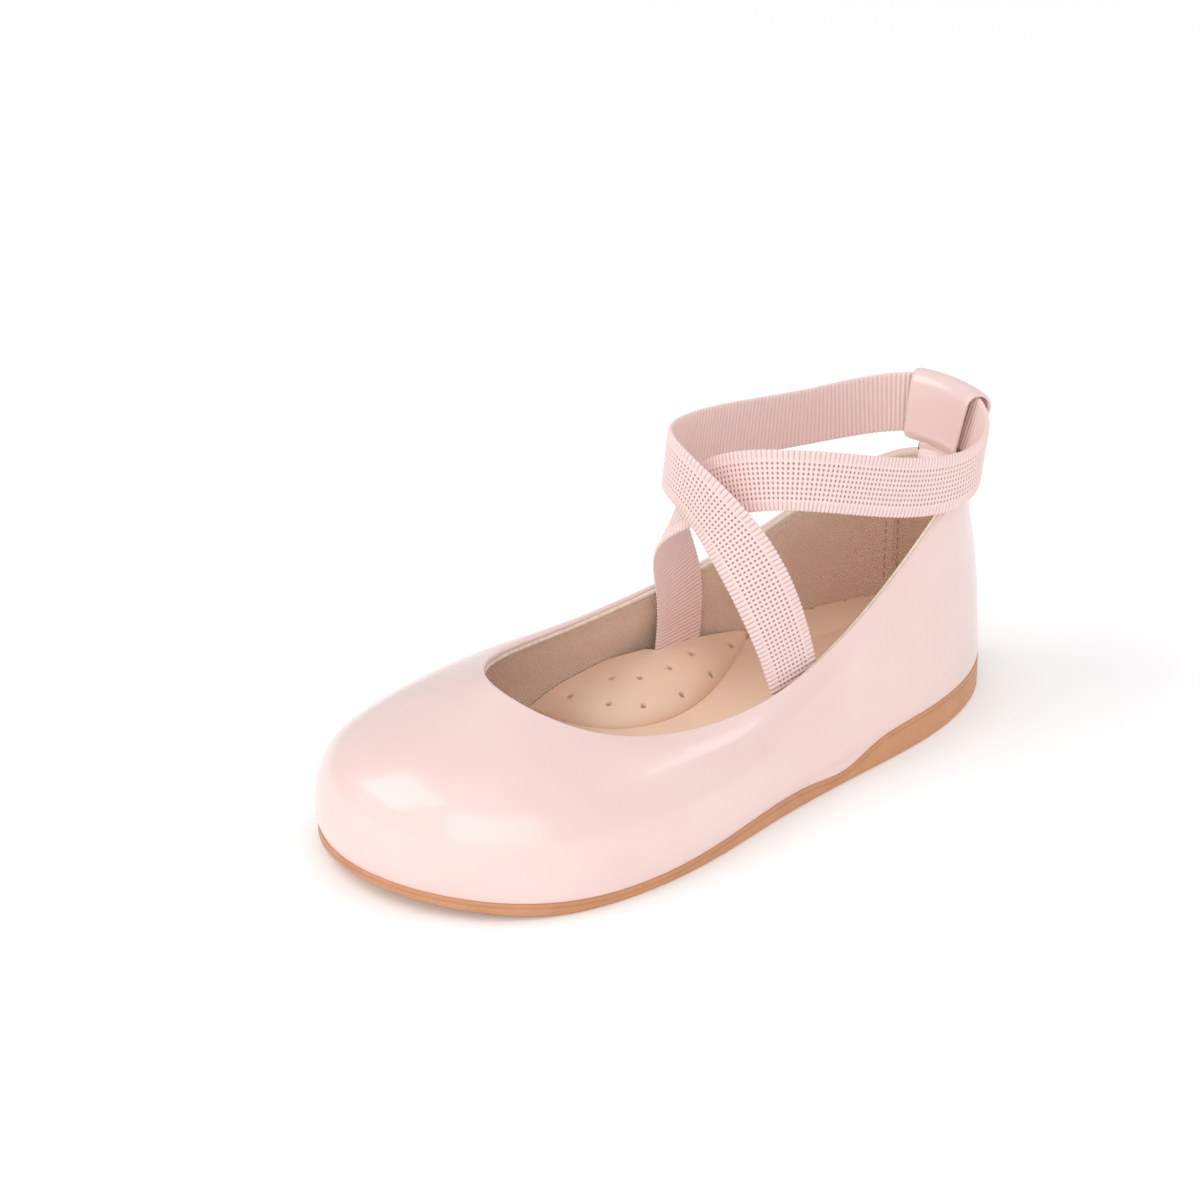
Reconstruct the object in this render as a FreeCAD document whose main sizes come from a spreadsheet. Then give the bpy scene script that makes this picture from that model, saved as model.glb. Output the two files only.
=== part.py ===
"""Left shoe of a child's patent ballet flat with a crossed elastic ankle strap.

Frame: +Z up, the toe points to -Y, the outer (lateral) side of the foot is +X.
The ground is Z = 0, and the origin is the bottom centre of the whole shoe. Millimetres.
"""
import FreeCAD, Part
import math
import os

V = FreeCAD.Vector
doc = FreeCAD.newDocument("ballet_flat")

# ---------------------------------------------------------------- driving sizes
SIZES = [
    ("sole_length", 185.0),
    ("sole_width", 76.0),
    ("heel_collar_height", 56.0),
    ("upper_thickness", 1.2),
    ("stiffener_thickness", 0.7),
    ("lining_thickness", 0.8),
    ("layer_gap", 0.1),
    ("elastic_width", 14.5),
    ("elastic_thickness", 1.2),
    ("loop_width", 20.0),
    ("loop_thickness", 1.1),
    ("board_thickness", 1.4),
    ("foam_thickness", 1.6),
    ("cover_thickness", 0.8),
    ("margin_width", 10.0),
    ("shank_length", 74.0),
    ("shank_width", 11.0),
    ("shank_thickness", 1.0),
    ("arch_pad_height", 9.0),
    ("heel_pad_height", 3.6),
    ("sole_lip", 1.0),
    ("tread_depth", 0.8),
    ("tread_width", 1.6),
    ("tread_pitch", 5.0),
    ("stitch_length", 2.0),
    ("stitch_radius", 0.25),
    ("stitch_pitch", 3.2),
]
sheet = doc.addObject("Spreadsheet::Sheet", "sizes")
for row, (alias, value) in enumerate(SIZES, start=1):
    sheet.set("A%d" % row, alias)
    sheet.set("B%d" % row, str(value))
    sheet.setAlias("B%d" % row, alias)
doc.recompute()


def size(alias):
    return float(sheet.get(alias))


LONG = size("sole_length") / 185.0
WIDE = size("sole_width") / 76.0
TALL = size("heel_collar_height") / 56.0
GAP = size("layer_gap")

# ---------------------------------------------------------------- the last's surface
# Fourteen stations run round the shoe: heel centre, along the lateral side to the toe
# (station 7), and back along the medial side. Each is a column of spline poles.
FEATHER = [(2, 92), (17, 84.5), (27.5, 60), (29.5, 30), (32.5, 0), (40.5, -34), (35.5, -76),
           (-1, -99.5), (-38, -82), (-38.5, -44), (-33.5, -4), (-26, 31), (-23, 60), (-14, 84.5)]
TOPLINE = [(2, 85, 57), (13.5, 82, 57), (22.5, 65, 56.5), (26.5, 42, 43), (28.5, 11, 28),
           (28, -19, 27), (21, -45, 31), (-2, -56.5, 40), (-24, -41, 33.5), (-27, -15, 31),
           (-26.5, 12, 33), (-22, 41, 38.5), (-17.5, 63, 50), (-9.5, 82, 57)]
OUTWARD = [(0, 1), (0.75, 0.65), (1, 0.1), (1, 0), (1, 0), (1, 0), (0.8, -0.6),
           (0, -1), (-0.8, -0.6), (-1, 0), (-1, 0), (-1, 0), (-1, 0.1), (-0.75, 0.65)]
# Wall rows between the feather and the topline: outward bulge and height at each station.
LOWER_WALL = [(0.4, 16), (0.4, 16), (1.2, 15), (2, 12), (2, 10), (2, 10), (2.5, 11),
              (3, 12), (2, 11), (2, 10), (2, 10), (2, 12), (1.2, 15), (0.4, 16)]
MIDDLE_WALL = [(0, 29), (0, 29), (0.6, 27), (1.5, 20), (2, 16), (2, 18), (1.5, 23),
               (1.5, 25), (0.5, 21.5), (2, 17), (2, 17), (2, 21), (0.6, 26), (0, 29)]
UPPER_WALL = [(-2.4, 43), (-2, 43), (-1.5, 39), (-0.5, 28), (0, 21), (-4, 24.5), (-9, 31),
              (-11, 33.5), (-8, 29.5), (-4, 25.5), (-1, 24), (-1.5, 27), (-1.5, 36), (-2, 43)]
# Poles just under the topline, measured from the topline poles.
COLLAR = [(1.2, -8), (1.2, -8), (1.5, -10), (2, -8), (2.5, -4), (5, -1), (10, -0.5),
          (17, -3), (10, -1.5), (5, -1), (3.5, -4), (2.5, -7), (1.5, -9), (1.2, -8)]
# Side profile of the sole's floor: height under the lasting margin along the length.
FLOOR = [(-104, 7.2), (-94, 5.2), (-82, 3.7), (-68, 2.3), (-50, 1.7), (-25, 1.8), (0, 2.7),
         (18, 2.9), (32, 4.4), (45, 6.1), (62, 6.4), (104, 6.4)]
STATIONS = len(FEATHER)


def clamped_knots(count, degree=3):
    """Knots and multiplicities of a clamped uniform spline with `count` poles."""
    spans = count - degree
    return list(range(spans + 1)), [degree + 1] + [1] * (spans - 1) + [degree + 1]


def profile_curve(points, lift=0.0):
    """Clamped cubic through side-profile poles (y, z), raised by lift, in the YZ plane."""
    knots, mults = clamped_knots(len(points))
    curve = Part.BSplineCurve()
    poles = [V(0, y * LONG, z + lift) for y, z in points]
    curve.buildFromPolesMultsKnots(poles, mults, knots, False, 3)
    return curve


floor_curve = profile_curve(FLOOR)


def floor_height(y):
    """Height of the sole's floor at y, found along the side-profile curve."""
    low, high = floor_curve.FirstParameter, floor_curve.LastParameter
    for _ in range(40):
        middle = 0.5 * (low + high)
        if floor_curve.value(middle).y < y:
            low = middle
        else:
            high = middle
    return floor_curve.value(low).z


def pole_rows():
    """Rows of poles from the lasting margin's inner edge up to the topline."""
    rows = [[] for _ in range(8)]
    for i in range(STATIONS):
        x, y = FEATHER[i][0] * WIDE, FEATHER[i][1] * LONG
        ox, oy = OUTWARD[i]

        def pole(bulge, z):
            return V(x + ox * bulge, y + oy * bulge, z)

        for row, bulge, lift in ((0, -size("margin_width"), 0.0), (1, -1.2, -0.1), (2, 1.4, 0.9)):
            rows[row].append(pole(bulge, floor_height(y + oy * bulge) + lift))
        rows[3].append(pole(LOWER_WALL[i][0], LOWER_WALL[i][1]))
        rows[4].append(pole(MIDDLE_WALL[i][0], MIDDLE_WALL[i][1] * TALL))
        rows[5].append(pole(UPPER_WALL[i][0], UPPER_WALL[i][1] * TALL))
        tx, ty, tz = TOPLINE[i]
        bulge, drop = COLLAR[i]
        rows[6].append(V(tx * WIDE + ox * bulge, ty * LONG + oy * bulge, (tz + drop) * TALL))
        rows[7].append(V(tx * WIDE, ty * LONG, tz * TALL))
    return rows


ROWS = pole_rows()
V_KNOTS, V_MULTS = clamped_knots(len(ROWS))
V_FLAT = [k for k, m in zip(V_KNOTS, V_MULTS) for _ in range(m)]
TOP = float(V_KNOTS[-1])


def surface_from(poles):
    """Bicubic surface over stations -3 to 17, whose u parameter is the station number."""
    first, last = -5, STATIONS + 5
    columns = [[poles[r][i % STATIONS] for r in range(len(poles))] for i in range(first, last + 1)]
    u_knots = [first - 2 + j for j in range(len(columns) + 4)]
    patch = Part.BSplineSurface()
    patch.buildFromPolesMultsKnots(columns, [1] * len(u_knots), V_MULTS, u_knots, V_KNOTS,
                                   False, False, 3, 3)
    return patch


LAST = surface_from(ROWS)


def pole_normals():
    """Unit inward direction at each pole, from the surface beside it."""
    rows = []
    for r in range(len(ROWS)):
        v = sum(V_FLAT[r + 1:r + 4]) / 3.0
        v = min(max(v, 0.02), TOP - 0.02)
        row = []
        for i in range(STATIONS):
            along = LAST.value(i + 0.02, v) - LAST.value(i - 0.02, v)
            up = LAST.value(i, v + 0.02) - LAST.value(i, v - 0.02)
            inward = along.cross(up)
            inward.normalize()
            row.append(inward)
        rows.append(row)
    return rows


INWARD = pole_normals()
if INWARD[4][0].y > 0:
    INWARD = [[n * -1.0 for n in row] for row in INWARD]


def layer_surface(depth):
    """The last's surface moved inward by depth."""
    poles = [[p + n * depth for p, n in zip(row, inward)] for row, inward in zip(ROWS, INWARD)]
    return surface_from(poles)


# ---------------------------------------------------------------- solids between surfaces
def poles_of(patch):
    return [list(column) for column in patch.getPoles()]


def side_face(edge_a, edge_b, mults, knots, degree):
    """Face ruled between two edges that are given as rows of poles."""
    patch = Part.BSplineSurface()
    columns = [[a, b] for a, b in zip(edge_a, edge_b)]
    patch.buildFromPolesMultsKnots(columns, mults, [2, 2], knots, [0, 1], False, False, degree, 1)
    return patch.toShape()


def faces_between(outer, inner, ends=(True, True)):
    """Faces of the space between two patches that share their knots."""
    po, pi = poles_of(outer), poles_of(inner)
    um, uk, ud = outer.getUMultiplicities(), outer.getUKnots(), outer.UDegree
    vm, vk, vd = outer.getVMultiplicities(), outer.getVKnots(), outer.VDegree
    faces = [outer.toShape(), inner.toShape()]
    faces.append(side_face([c[0] for c in po], [c[0] for c in pi], um, uk, ud))
    faces.append(side_face([c[-1] for c in po], [c[-1] for c in pi], um, uk, ud))
    if ends[0]:
        faces.append(side_face(po[0], pi[0], vm, vk, vd))
    if ends[1]:
        faces.append(side_face(po[-1], pi[-1], vm, vk, vd))
    return faces


def sewn_solid(faces):
    """One closed solid from faces that meet edge to edge."""
    quilt = Part.makeCompound(faces)
    quilt.sewShape()
    shell = Part.Shell(quilt.Faces)
    solid = Part.Solid(shell)
    if solid.Volume < 0:
        solid.reverse()
    return solid


def layer_patch(depth, u0, u1, v0, v1):
    patch = layer_surface(depth)
    patch.segment(u0, u1, v0, v1)
    return patch


def panel(u0, u1, v0, v1, depth, thickness):
    """A panel of material between stations u0 and u1 and rows v0 and v1."""
    outer = layer_patch(depth, u0, u1, v0, v1)
    inner = layer_patch(depth + thickness, u0, u1, v0, v1)
    return sewn_solid(faces_between(outer, inner))


def closed_ring(v0, v1, depth, thickness):
    """A layer that goes all the way round the shoe."""
    half = STATIONS / 2.0
    faces = []
    for u0 in (0.0, half):
        outer = layer_patch(depth, u0, u0 + half, v0, v1)
        inner = layer_patch(depth + thickness, u0, u0 + half, v0, v1)
        faces += faces_between(outer, inner, ends=(False, False))
    return sewn_solid(faces)


def feature(label, shape):
    """A named sub-part whose shape comes from Part's functions."""
    part = doc.addObject("Part::Feature", label)
    part.Label = label
    part.Shape = shape
    part.Placement = FreeCAD.Placement()
    SUBPARTS.append(part)
    return part


SUBPARTS = []

# ---------------------------------------------------------------- upper and linings
UPPER = size("upper_thickness")
STIFF_DEPTH = UPPER + GAP
LINING_DEPTH = STIFF_DEPTH + size("stiffener_thickness") + GAP
INNER_FACE = LINING_DEPTH + size("lining_thickness")
LINING_FOOT = 1.45
LINING_TOP = 4.88
SEAM_STATION = 1.0

feature("upper", closed_ring(0.0, TOP, 0.0, UPPER))
feature("heel_counter", panel(-1.7, 1.7, 1.5, 4.2, STIFF_DEPTH, size("stiffener_thickness")))
feature("toe_puff", panel(5.5, 8.5, 1.5, 3.6, STIFF_DEPTH, size("stiffener_thickness")))
feature("topline_binding", closed_ring(4.72, TOP, STIFF_DEPTH, size("stiffener_thickness")))
feature("back_seam_tape", panel(-0.14, 0.14, 4.25, 4.68, STIFF_DEPTH,
                                size("stiffener_thickness")))
feature("vamp_lining", panel(SEAM_STATION + 0.02, STATIONS - SEAM_STATION - 0.02, LINING_FOOT,
                             LINING_TOP, LINING_DEPTH, size("lining_thickness")))
feature("heel_lining", panel(-SEAM_STATION + 0.02, SEAM_STATION - 0.02, LINING_FOOT,
                             LINING_TOP, LINING_DEPTH, size("lining_thickness")))


def stitch_row(points, facing):
    """Separate stitches laid along a row of points, each on the side that faces inward."""
    radius = size("stitch_radius")
    length = size("stitch_length")
    stitches = []
    for here, ahead, inward in zip(points, points[1:], facing):
        direction = ahead - here
        direction.normalize()
        start = here + inward * (radius + 0.02)
        stitches.append(Part.makeCylinder(radius, length, start, direction))
    return stitches


def row_on_layer(depth, path):
    """Points a stitch pitch apart along path(t) for t from 0 to 1, and their inward sides."""
    patch = layer_surface(depth)
    dense = [path(k / 2000.0) for k in range(2001)]
    spots = [patch.value(u, v) for u, v in dense]
    points, facing, travelled = [spots[0]], [], 0.0
    marks = [dense[0]]
    for k in range(1, len(spots)):
        travelled += spots[k].distanceToPoint(spots[k - 1])
        if travelled >= size("stitch_pitch"):
            points.append(spots[k])
            marks.append(dense[k])
            travelled = 0.0
    outside = layer_surface(depth - 1.0)
    for (u, v), spot in zip(marks, points):
        inward = spot - outside.value(u, v)
        inward.normalize()
        facing.append(inward)
    return points, facing


BINDING_FACE = STIFF_DEPTH + size("stiffener_thickness")
topline_points, topline_facing = row_on_layer(
    BINDING_FACE, lambda t: (-0.2 + t * STATIONS, 0.5 * (LINING_TOP + TOP)))
feature("topline_stitching", Part.makeCompound(stitch_row(topline_points, topline_facing)))

seam_stitches = []
for station in (-SEAM_STATION + 0.07, -SEAM_STATION - 0.07,
                SEAM_STATION - 0.07, SEAM_STATION + 0.07):
    seam_points, seam_facing = row_on_layer(
        INNER_FACE, lambda t, at=station: (at, 2.2 + t * 2.55))
    seam_stitches += stitch_row(seam_points, seam_facing)
feature("lining_seam_stitching", Part.makeCompound(seam_stitches))

# ---------------------------------------------------------------- sole and footbed
def outline_poles(inset, z=0.0):
    """Feather outline moved inward by inset (outward when negative), as spline poles."""
    poles = []
    for i in range(STATIONS):
        before, after = ROWS[2][i - 1], ROWS[2][(i + 1) % STATIONS]
        ahead = V(after.x - before.x, after.y - before.y, 0)
        ahead.normalize()
        inward = V(ahead.y, -ahead.x, 0) * -1.0
        x, y = FEATHER[i][0] * WIDE, FEATHER[i][1] * LONG
        if inward.x * x + inward.y * y > 0:
            inward = inward * -1.0
        poles.append(V(x + inward.x * inset, y + inward.y * inset, z))
    return poles


def closed_spline(poles):
    curve = Part.BSplineCurve()
    curve.buildFromPolesMultsKnots(poles, [1] * (len(poles) + 1), list(range(len(poles) + 1)),
                                   True, 3)
    return curve


def new_body(label):
    body = doc.addObject("PartDesign::Body", label)
    body.Label = label
    return body


def new_sketch(body, name, plane):
    planes = {item.Role: item for item in body.Origin.OriginFeatures}
    sketch = body.newObject("Sketcher::SketchObject", name)
    sketch.AttachmentSupport = [(planes[plane], "")]
    sketch.MapMode = "FlatFace"
    return sketch


def flat(points):
    """Line segments round a closed polygon in sketch coordinates."""
    corners = [V(x, y, 0) for x, y in points]
    return [Part.LineSegment(a, b) for a, b in zip(corners, corners[1:] + corners[:1])]


def side_spline(points, lift):
    """The side profile as sketch geometry on the YZ plane: sketch x is y, sketch y is z."""
    knots, mults = clamped_knots(len(points))
    curve = Part.BSplineCurve()
    curve.buildFromPolesMultsKnots([V(y * LONG, z + lift, 0) for y, z in points], mults, knots,
                                   False, 3)
    return curve


def line(x0, y0, x1, y1):
    return Part.LineSegment(V(x0, y0, 0), V(x1, y1, 0))


def pad(body, sketch, expression, midplane=False):
    block = body.newObject("PartDesign::Pad", body.Label + "_pad")
    block.Profile = sketch
    block.setExpression("Length", expression)
    block.Midplane = midplane
    doc.recompute()
    return block


def pocket_through(body, sketch, name):
    """Cut a sketch through the whole body both ways, and see that it removed something."""
    before = body.Shape.Volume
    cut = body.newObject("PartDesign::Pocket", name)
    cut.Profile = sketch
    cut.Type = "Length"
    cut.Length = 400
    cut.Midplane = True
    doc.recompute()
    if not cut.Shape.Volume < before - 1.0:
        raise RuntimeError(name + " removed nothing")
    return cut


def bed_layer(label, inset, lift, thickness, notches=()):
    """A footbed layer: a band that follows the floor's side profile, trimmed to the outline."""
    body = new_body(label)
    side = new_sketch(body, label + "_side", "YZ_Plane")
    y0, z0 = FLOOR[0][0] * LONG, FLOOR[0][1]
    y1, z1 = FLOOR[-1][0] * LONG, FLOOR[-1][1]
    low, high = lift, lift + thickness
    side.addGeometry(side_spline(FLOOR, low), False)
    side.addGeometry(line(y1, z1 + low, y1, z1 + high), False)
    side.addGeometry(side_spline(FLOOR, high), False)
    side.addGeometry(line(y0, z0 + high, y0, z0 + low), False)
    doc.recompute()
    pad(body, side, "<<sizes>>.sole_width * 1.5", midplane=True)
    frame = new_sketch(body, label + "_outline", "XY_Plane")
    frame.addGeometry(closed_spline(outline_poles(inset)), False)
    for edge in flat([(-90, -130), (90, -130), (90, 130), (-90, 130)]):
        frame.addGeometry(edge, False)
    doc.recompute()
    pocket_through(body, frame, label + "_trim")
    if notches:
        slots = new_sketch(body, label + "_slots", "XY_Plane")
        for corners in notches:
            for edge in flat(corners):
                slots.addGeometry(edge, False)
        doc.recompute()
        pocket_through(body, slots, label + "_slot_cut")
    return body


# The outsole: a padded outline, cut to the wavy lip line and to the toe spring, with a
# recess for the lasted upper and grooves across the tread.
LIP = [(-104, 8.6), (-94, 6.6), (-84, 5.0), (-72, 3.7), (-60, 2.6), (-44, 2.3), (-26, 2.8),
       (-8, 3.8), (4, 4.2), (13, 3.9), (20, 2.7), (27, 3.0), (35, 6.6), (45, 7.6), (60, 7.6),
       (104, 7.4)]
SPRING = [(-104, 6.4), (-94, 4.3), (-84, 2.5), (-74, 1.0), (-66, 0.1), (-58, -0.3), (-50, -0.5)]
FLOOR_PLAY = 0.25
LASTING_PLAY = 0.12

block = new_body("outsole_block")
block_sketch = new_sketch(block, "outsole_outline", "XY_Plane")
block_sketch.addGeometry(closed_spline(outline_poles(-size("sole_lip") - 0.4)), False)
doc.recompute()
pad(block, block_sketch, "<<sizes>>.heel_collar_height * 3 / 14")

lip_sketch = new_sketch(block, "lip_line", "YZ_Plane")
lip_y0, lip_y1 = LIP[0][0] * LONG, LIP[-1][0] * LONG
lip_sketch.addGeometry(side_spline(LIP, 0.0), False)
lip_sketch.addGeometry(line(lip_y1, LIP[-1][1], lip_y1, 30), False)
lip_sketch.addGeometry(line(lip_y1, 30, lip_y0, 30), False)
lip_sketch.addGeometry(line(lip_y0, 30, lip_y0, LIP[0][1]), False)
doc.recompute()
pocket_through(block, lip_sketch, "lip_cut")

spring_sketch = new_sketch(block, "toe_spring", "YZ_Plane")
spring_y0, spring_y1 = SPRING[0][0] * LONG, SPRING[-1][0] * LONG
spring_sketch.addGeometry(side_spline(SPRING, 0.0), False)
spring_sketch.addGeometry(line(spring_y1, SPRING[-1][1], spring_y1, -9), False)
spring_sketch.addGeometry(line(spring_y1, -9, spring_y0, -9), False)
spring_sketch.addGeometry(line(spring_y0, -9, spring_y0, SPRING[0][1]), False)
doc.recompute()
pocket_through(block, spring_sketch, "toe_spring_cut")


def tread_grooves(name, y_start, count):
    """Grooves across the underside, repeated along the length."""
    before = block.Shape.Volume
    sketch = new_sketch(block, name + "_sketch", "XY_Plane")
    width = size("tread_width")
    for edge in flat([(-20, y_start), (20, y_start), (20, y_start + width),
                      (-20, y_start + width)]):
        sketch.addGeometry(edge, False)
    doc.recompute()
    groove = block.newObject("PartDesign::Pocket", name + "_groove")
    groove.Profile = sketch
    groove.Type = "Length"
    groove.setExpression("Length", "<<sizes>>.tread_depth")
    groove.Reversed = True
    doc.recompute()
    if not groove.Shape.Volume < before - 1.0:
        raise RuntimeError(name + " groove removed nothing")
    rows = block.newObject("PartDesign::LinearPattern", name + "_rows")
    rows.Originals = [groove]
    rows.Direction = (sketch, ["V_Axis"])
    rows.Length = size("tread_pitch") * (count - 1)
    rows.Occurrences = count
    block.Tip = rows
    doc.recompute()
    if not rows.Shape.Volume < groove.Shape.Volume - 1.0:
        raise RuntimeError(name + " pattern removed nothing")


tread_grooves("forefoot", -58.0, 9)
tread_grooves("heel", 46.0, 5)

recess_plan = doc.addObject("Part::Feature", "recess_plan")
recess_face = Part.Face(Part.Wire([closed_spline(outline_poles(-0.6, -5.0)).toShape()]))
recess_plan.Shape = recess_face.extrude(V(0, 0, 45))
recess_side = doc.addObject("Part::Feature", "recess_side")
side_start = floor_curve.value(floor_curve.FirstParameter)
side_end = floor_curve.value(floor_curve.LastParameter)
recess_edges = [floor_curve.toShape(),
                Part.makeLine(side_end, V(0, side_end.y, 38)),
                Part.makeLine(V(0, side_end.y, 38), V(0, side_start.y, 38)),
                Part.makeLine(V(0, side_start.y, 38), side_start)]
recess_profile = Part.Face(Part.Wire(recess_edges))
recess_profile.translate(V(-60, 0, -FLOOR_PLAY))
recess_side.Shape = recess_profile.extrude(V(120, 0, 0))
recess = doc.addObject("Part::MultiCommon", "recess")
recess.Shapes = [recess_plan, recess_side]
hollowed = doc.addObject("Part::Cut", "outsole_hollowed")
hollowed.Base = block
hollowed.Tool = recess
upper_room = doc.addObject("Part::Feature", "upper_room")
upper_room.Shape = closed_ring(0.0, 3.2, -LASTING_PLAY, UPPER + 2 * LASTING_PLAY)
outsole = doc.addObject("Part::Cut", "outsole")
outsole.Base = hollowed
outsole.Tool = upper_room
outsole.Label = "outsole"
doc.recompute()
SUBPARTS.append(outsole)

# Footbed, from the floor up: filler between the margins, shank, board, foam and cover.
MARGIN_TOP = UPPER + 0.1
BOARD_LIFT = MARGIN_TOP + 0.15
FOAM_LIFT = BOARD_LIFT + size("board_thickness") + GAP
COVER_LIFT = FOAM_LIFT + size("foam_thickness") + GAP
PAD_LIFT = COVER_LIFT + size("cover_thickness") + 0.05

SLOTS = [[(25.9, 6.2), (44, 6.2), (44, 22.8), (25.9, 22.8)],
         [(-44, 13.9), (-24.1, 13.9), (-24.1, 30.1), (-44, 30.1)]]

SHANK_HALF = 0.5 * size("shank_width")
SHANK_Y0 = -12.0
SHANK_Y1 = SHANK_Y0 + size("shank_length")
shank_slot = [(2 - SHANK_HALF - 0.3, SHANK_Y0 - 0.3), (2 + SHANK_HALF + 0.3, SHANK_Y0 - 0.3),
              (2 + SHANK_HALF + 0.3, SHANK_Y1 + 0.3), (2 - SHANK_HALF - 0.3, SHANK_Y1 + 0.3)]
filler = bed_layer("bottom_filler", size("margin_width") + 1.2, 0.0, UPPER,
                   notches=[shank_slot])
board_blank = bed_layer("board_blank", 2.8, BOARD_LIFT, size("board_thickness"))
board = doc.addObject("Part::Cut", "insole_board")
board.Base = board_blank
board.Tool = upper_room
board.Label = "insole_board"
foam = bed_layer("sock_foam", 3.4, FOAM_LIFT, size("foam_thickness"), notches=SLOTS)
cover = bed_layer("sock_cover", 3.3, COVER_LIFT, size("cover_thickness"), notches=SLOTS)
doc.recompute()
SUBPARTS += [filler, board, foam, cover]

shank = new_body("shank")
shank_side = new_sketch(shank, "shank_side", "YZ_Plane")
shank_low, shank_high = 0.05, 0.05 + size("shank_thickness")
shank_steps = 6


def shank_line(lift):
    points = []
    for k in range(shank_steps + 1):
        y = SHANK_Y0 + (SHANK_Y1 - SHANK_Y0) * k / shank_steps
        points.append((y, floor_height(y) + lift))
    return points


shank_corners = shank_line(shank_low) + shank_line(shank_high)[::-1]
for edge in flat(shank_corners):
    shank_side.addGeometry(edge, False)
doc.recompute()
pad(shank, shank_side, "<<sizes>>.shank_width", midplane=True)
shank.Placement = FreeCAD.Placement(V(2, 0, 0), FreeCAD.Rotation())
doc.recompute()
SUBPARTS.append(shank)


PAD_PLAY = 0.25
PAD_ROOT = 3.0


def slab_above_bed(height):
    """Everything from the cover's top up to that height, following the floor's side profile."""
    low = profile_curve(FLOOR, PAD_LIFT).toShape()
    high = low.copy()
    high.translate(V(0, 0, height))
    band = Part.makeRuledSurface(low, high)
    band.translate(V(-60, 0, 0))
    return band.extrude(V(120, 0, 0))


def bed_height(y):
    return floor_height(y) + PAD_LIFT


def moulded_pad(net):
    """A pad under a spline surface: rows along the pad, four poles across each, z above the bed."""
    knots, mults = clamped_knots(len(net))

    def skin(root):
        poles = [[V(x * WIDE, y * LONG, PAD_ROOT if root else bed_height(y * LONG) + h)
                  for x, y, h in row] for row in net]
        patch = Part.BSplineSurface()
        patch.buildFromPolesMultsKnots(poles, mults, [4, 4], knots, [0, 1], False, False, 3, 3)
        return patch

    blank = sewn_solid(faces_between(skin(False), skin(True)))
    trimmed = blank.common(slab_above_bed(size("arch_pad_height") * 3))
    inside = trimmed.cut(closed_ring(0.5, 4.0, 0.0, INNER_FACE + PAD_PLAY)).cut(leg_room)
    return max(inside.Solids, key=lambda solid: solid.Volume)


# The arch pad's rim is notched where the strap's inner leg goes down behind it.
leg_room = Part.makeBox(22.0, 17.6, 40.0, V(-45.1, 13.2, 0))


# Across each row: the pad's crisp lower edge, its shoulder, its crown, its rim at the lining.
RISE = size("arch_pad_height") / 9.0
ARCH_NET = [
    [(-33, -16.5, 0.2), (-33.2, -16.6, 0.5), (-33.4, -16.8, 0.8), (-33.7, -17.1, 1.0)],
    [(-24, -14.5, 0.1), (-24.5, -13.5, 3.4), (-29, -9.5, 4.4), (-34.5, -11.5, 4.0)],
    [(-12, -10.5, 0.1), (-12.5, -9.5, 4.0), (-22, -3.5, 5.6), (-33.5, -2.5, 6.0)],
    [(-6.8, 3.5, 0.1), (-7.6, 3.5, 4.0), (-18, 6, 7.0), (-27.5, 9.5, 8.6)],
    [(-9.5, 17.5, 0.1), (-10.3, 17.4, 3.7), (-17.5, 17.5, 7.0), (-24, 18, 8.8)],
    [(-15.5, 31, 0.1), (-16.2, 30.8, 3.0), (-20.5, 30.5, 5.0), (-24.1, 30.5, 6.2)],
    [(-22.6, 42.6, 0.1), (-22.8, 42.7, 0.8), (-23.1, 42.8, 1.6), (-23.5, 43, 2.2)]]
ARCH_NET = [[(x, y, h * RISE) for x, y, h in row] for row in ARCH_NET]
feature("arch_pad", moulded_pad(ARCH_NET))

HEEL_INNER = [(-16, 45), (-11.5, 54), (-10.2, 65), (-6.5, 75), (1.6, 79.5), (9.7, 75), (13.8, 65),
              (16.5, 54), (20, 45)]
HEEL_OUTER = [(-24, 44), (-24, 56), (-23, 69), (-18, 84), (2, 94), (21, 84), (28, 69), (29.5, 56),
              (29.5, 44)]
HEEL_RIM = [0.25, 0.8, 0.9, 1.1, 1.25, 1.1, 0.9, 0.8, 0.25]


def heel_row(inner, outer, rim):
    """Four poles from the pad's inner edge out to its rim."""
    row = []
    for share, rise in ((0.0, 0.03), (0.1, 0.55), (0.6, 0.9), (1.0, 1.0)):
        x = inner[0] + (outer[0] - inner[0]) * share
        y = inner[1] + (outer[1] - inner[1]) * share
        row.append((x, y, size("heel_pad_height") * rise * rim))
    return row


HEEL_NET = [heel_row(*places) for places in zip(HEEL_INNER, HEEL_OUTER, HEEL_RIM)]
feature("heel_cup_pad", moulded_pad(HEEL_NET))

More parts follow.
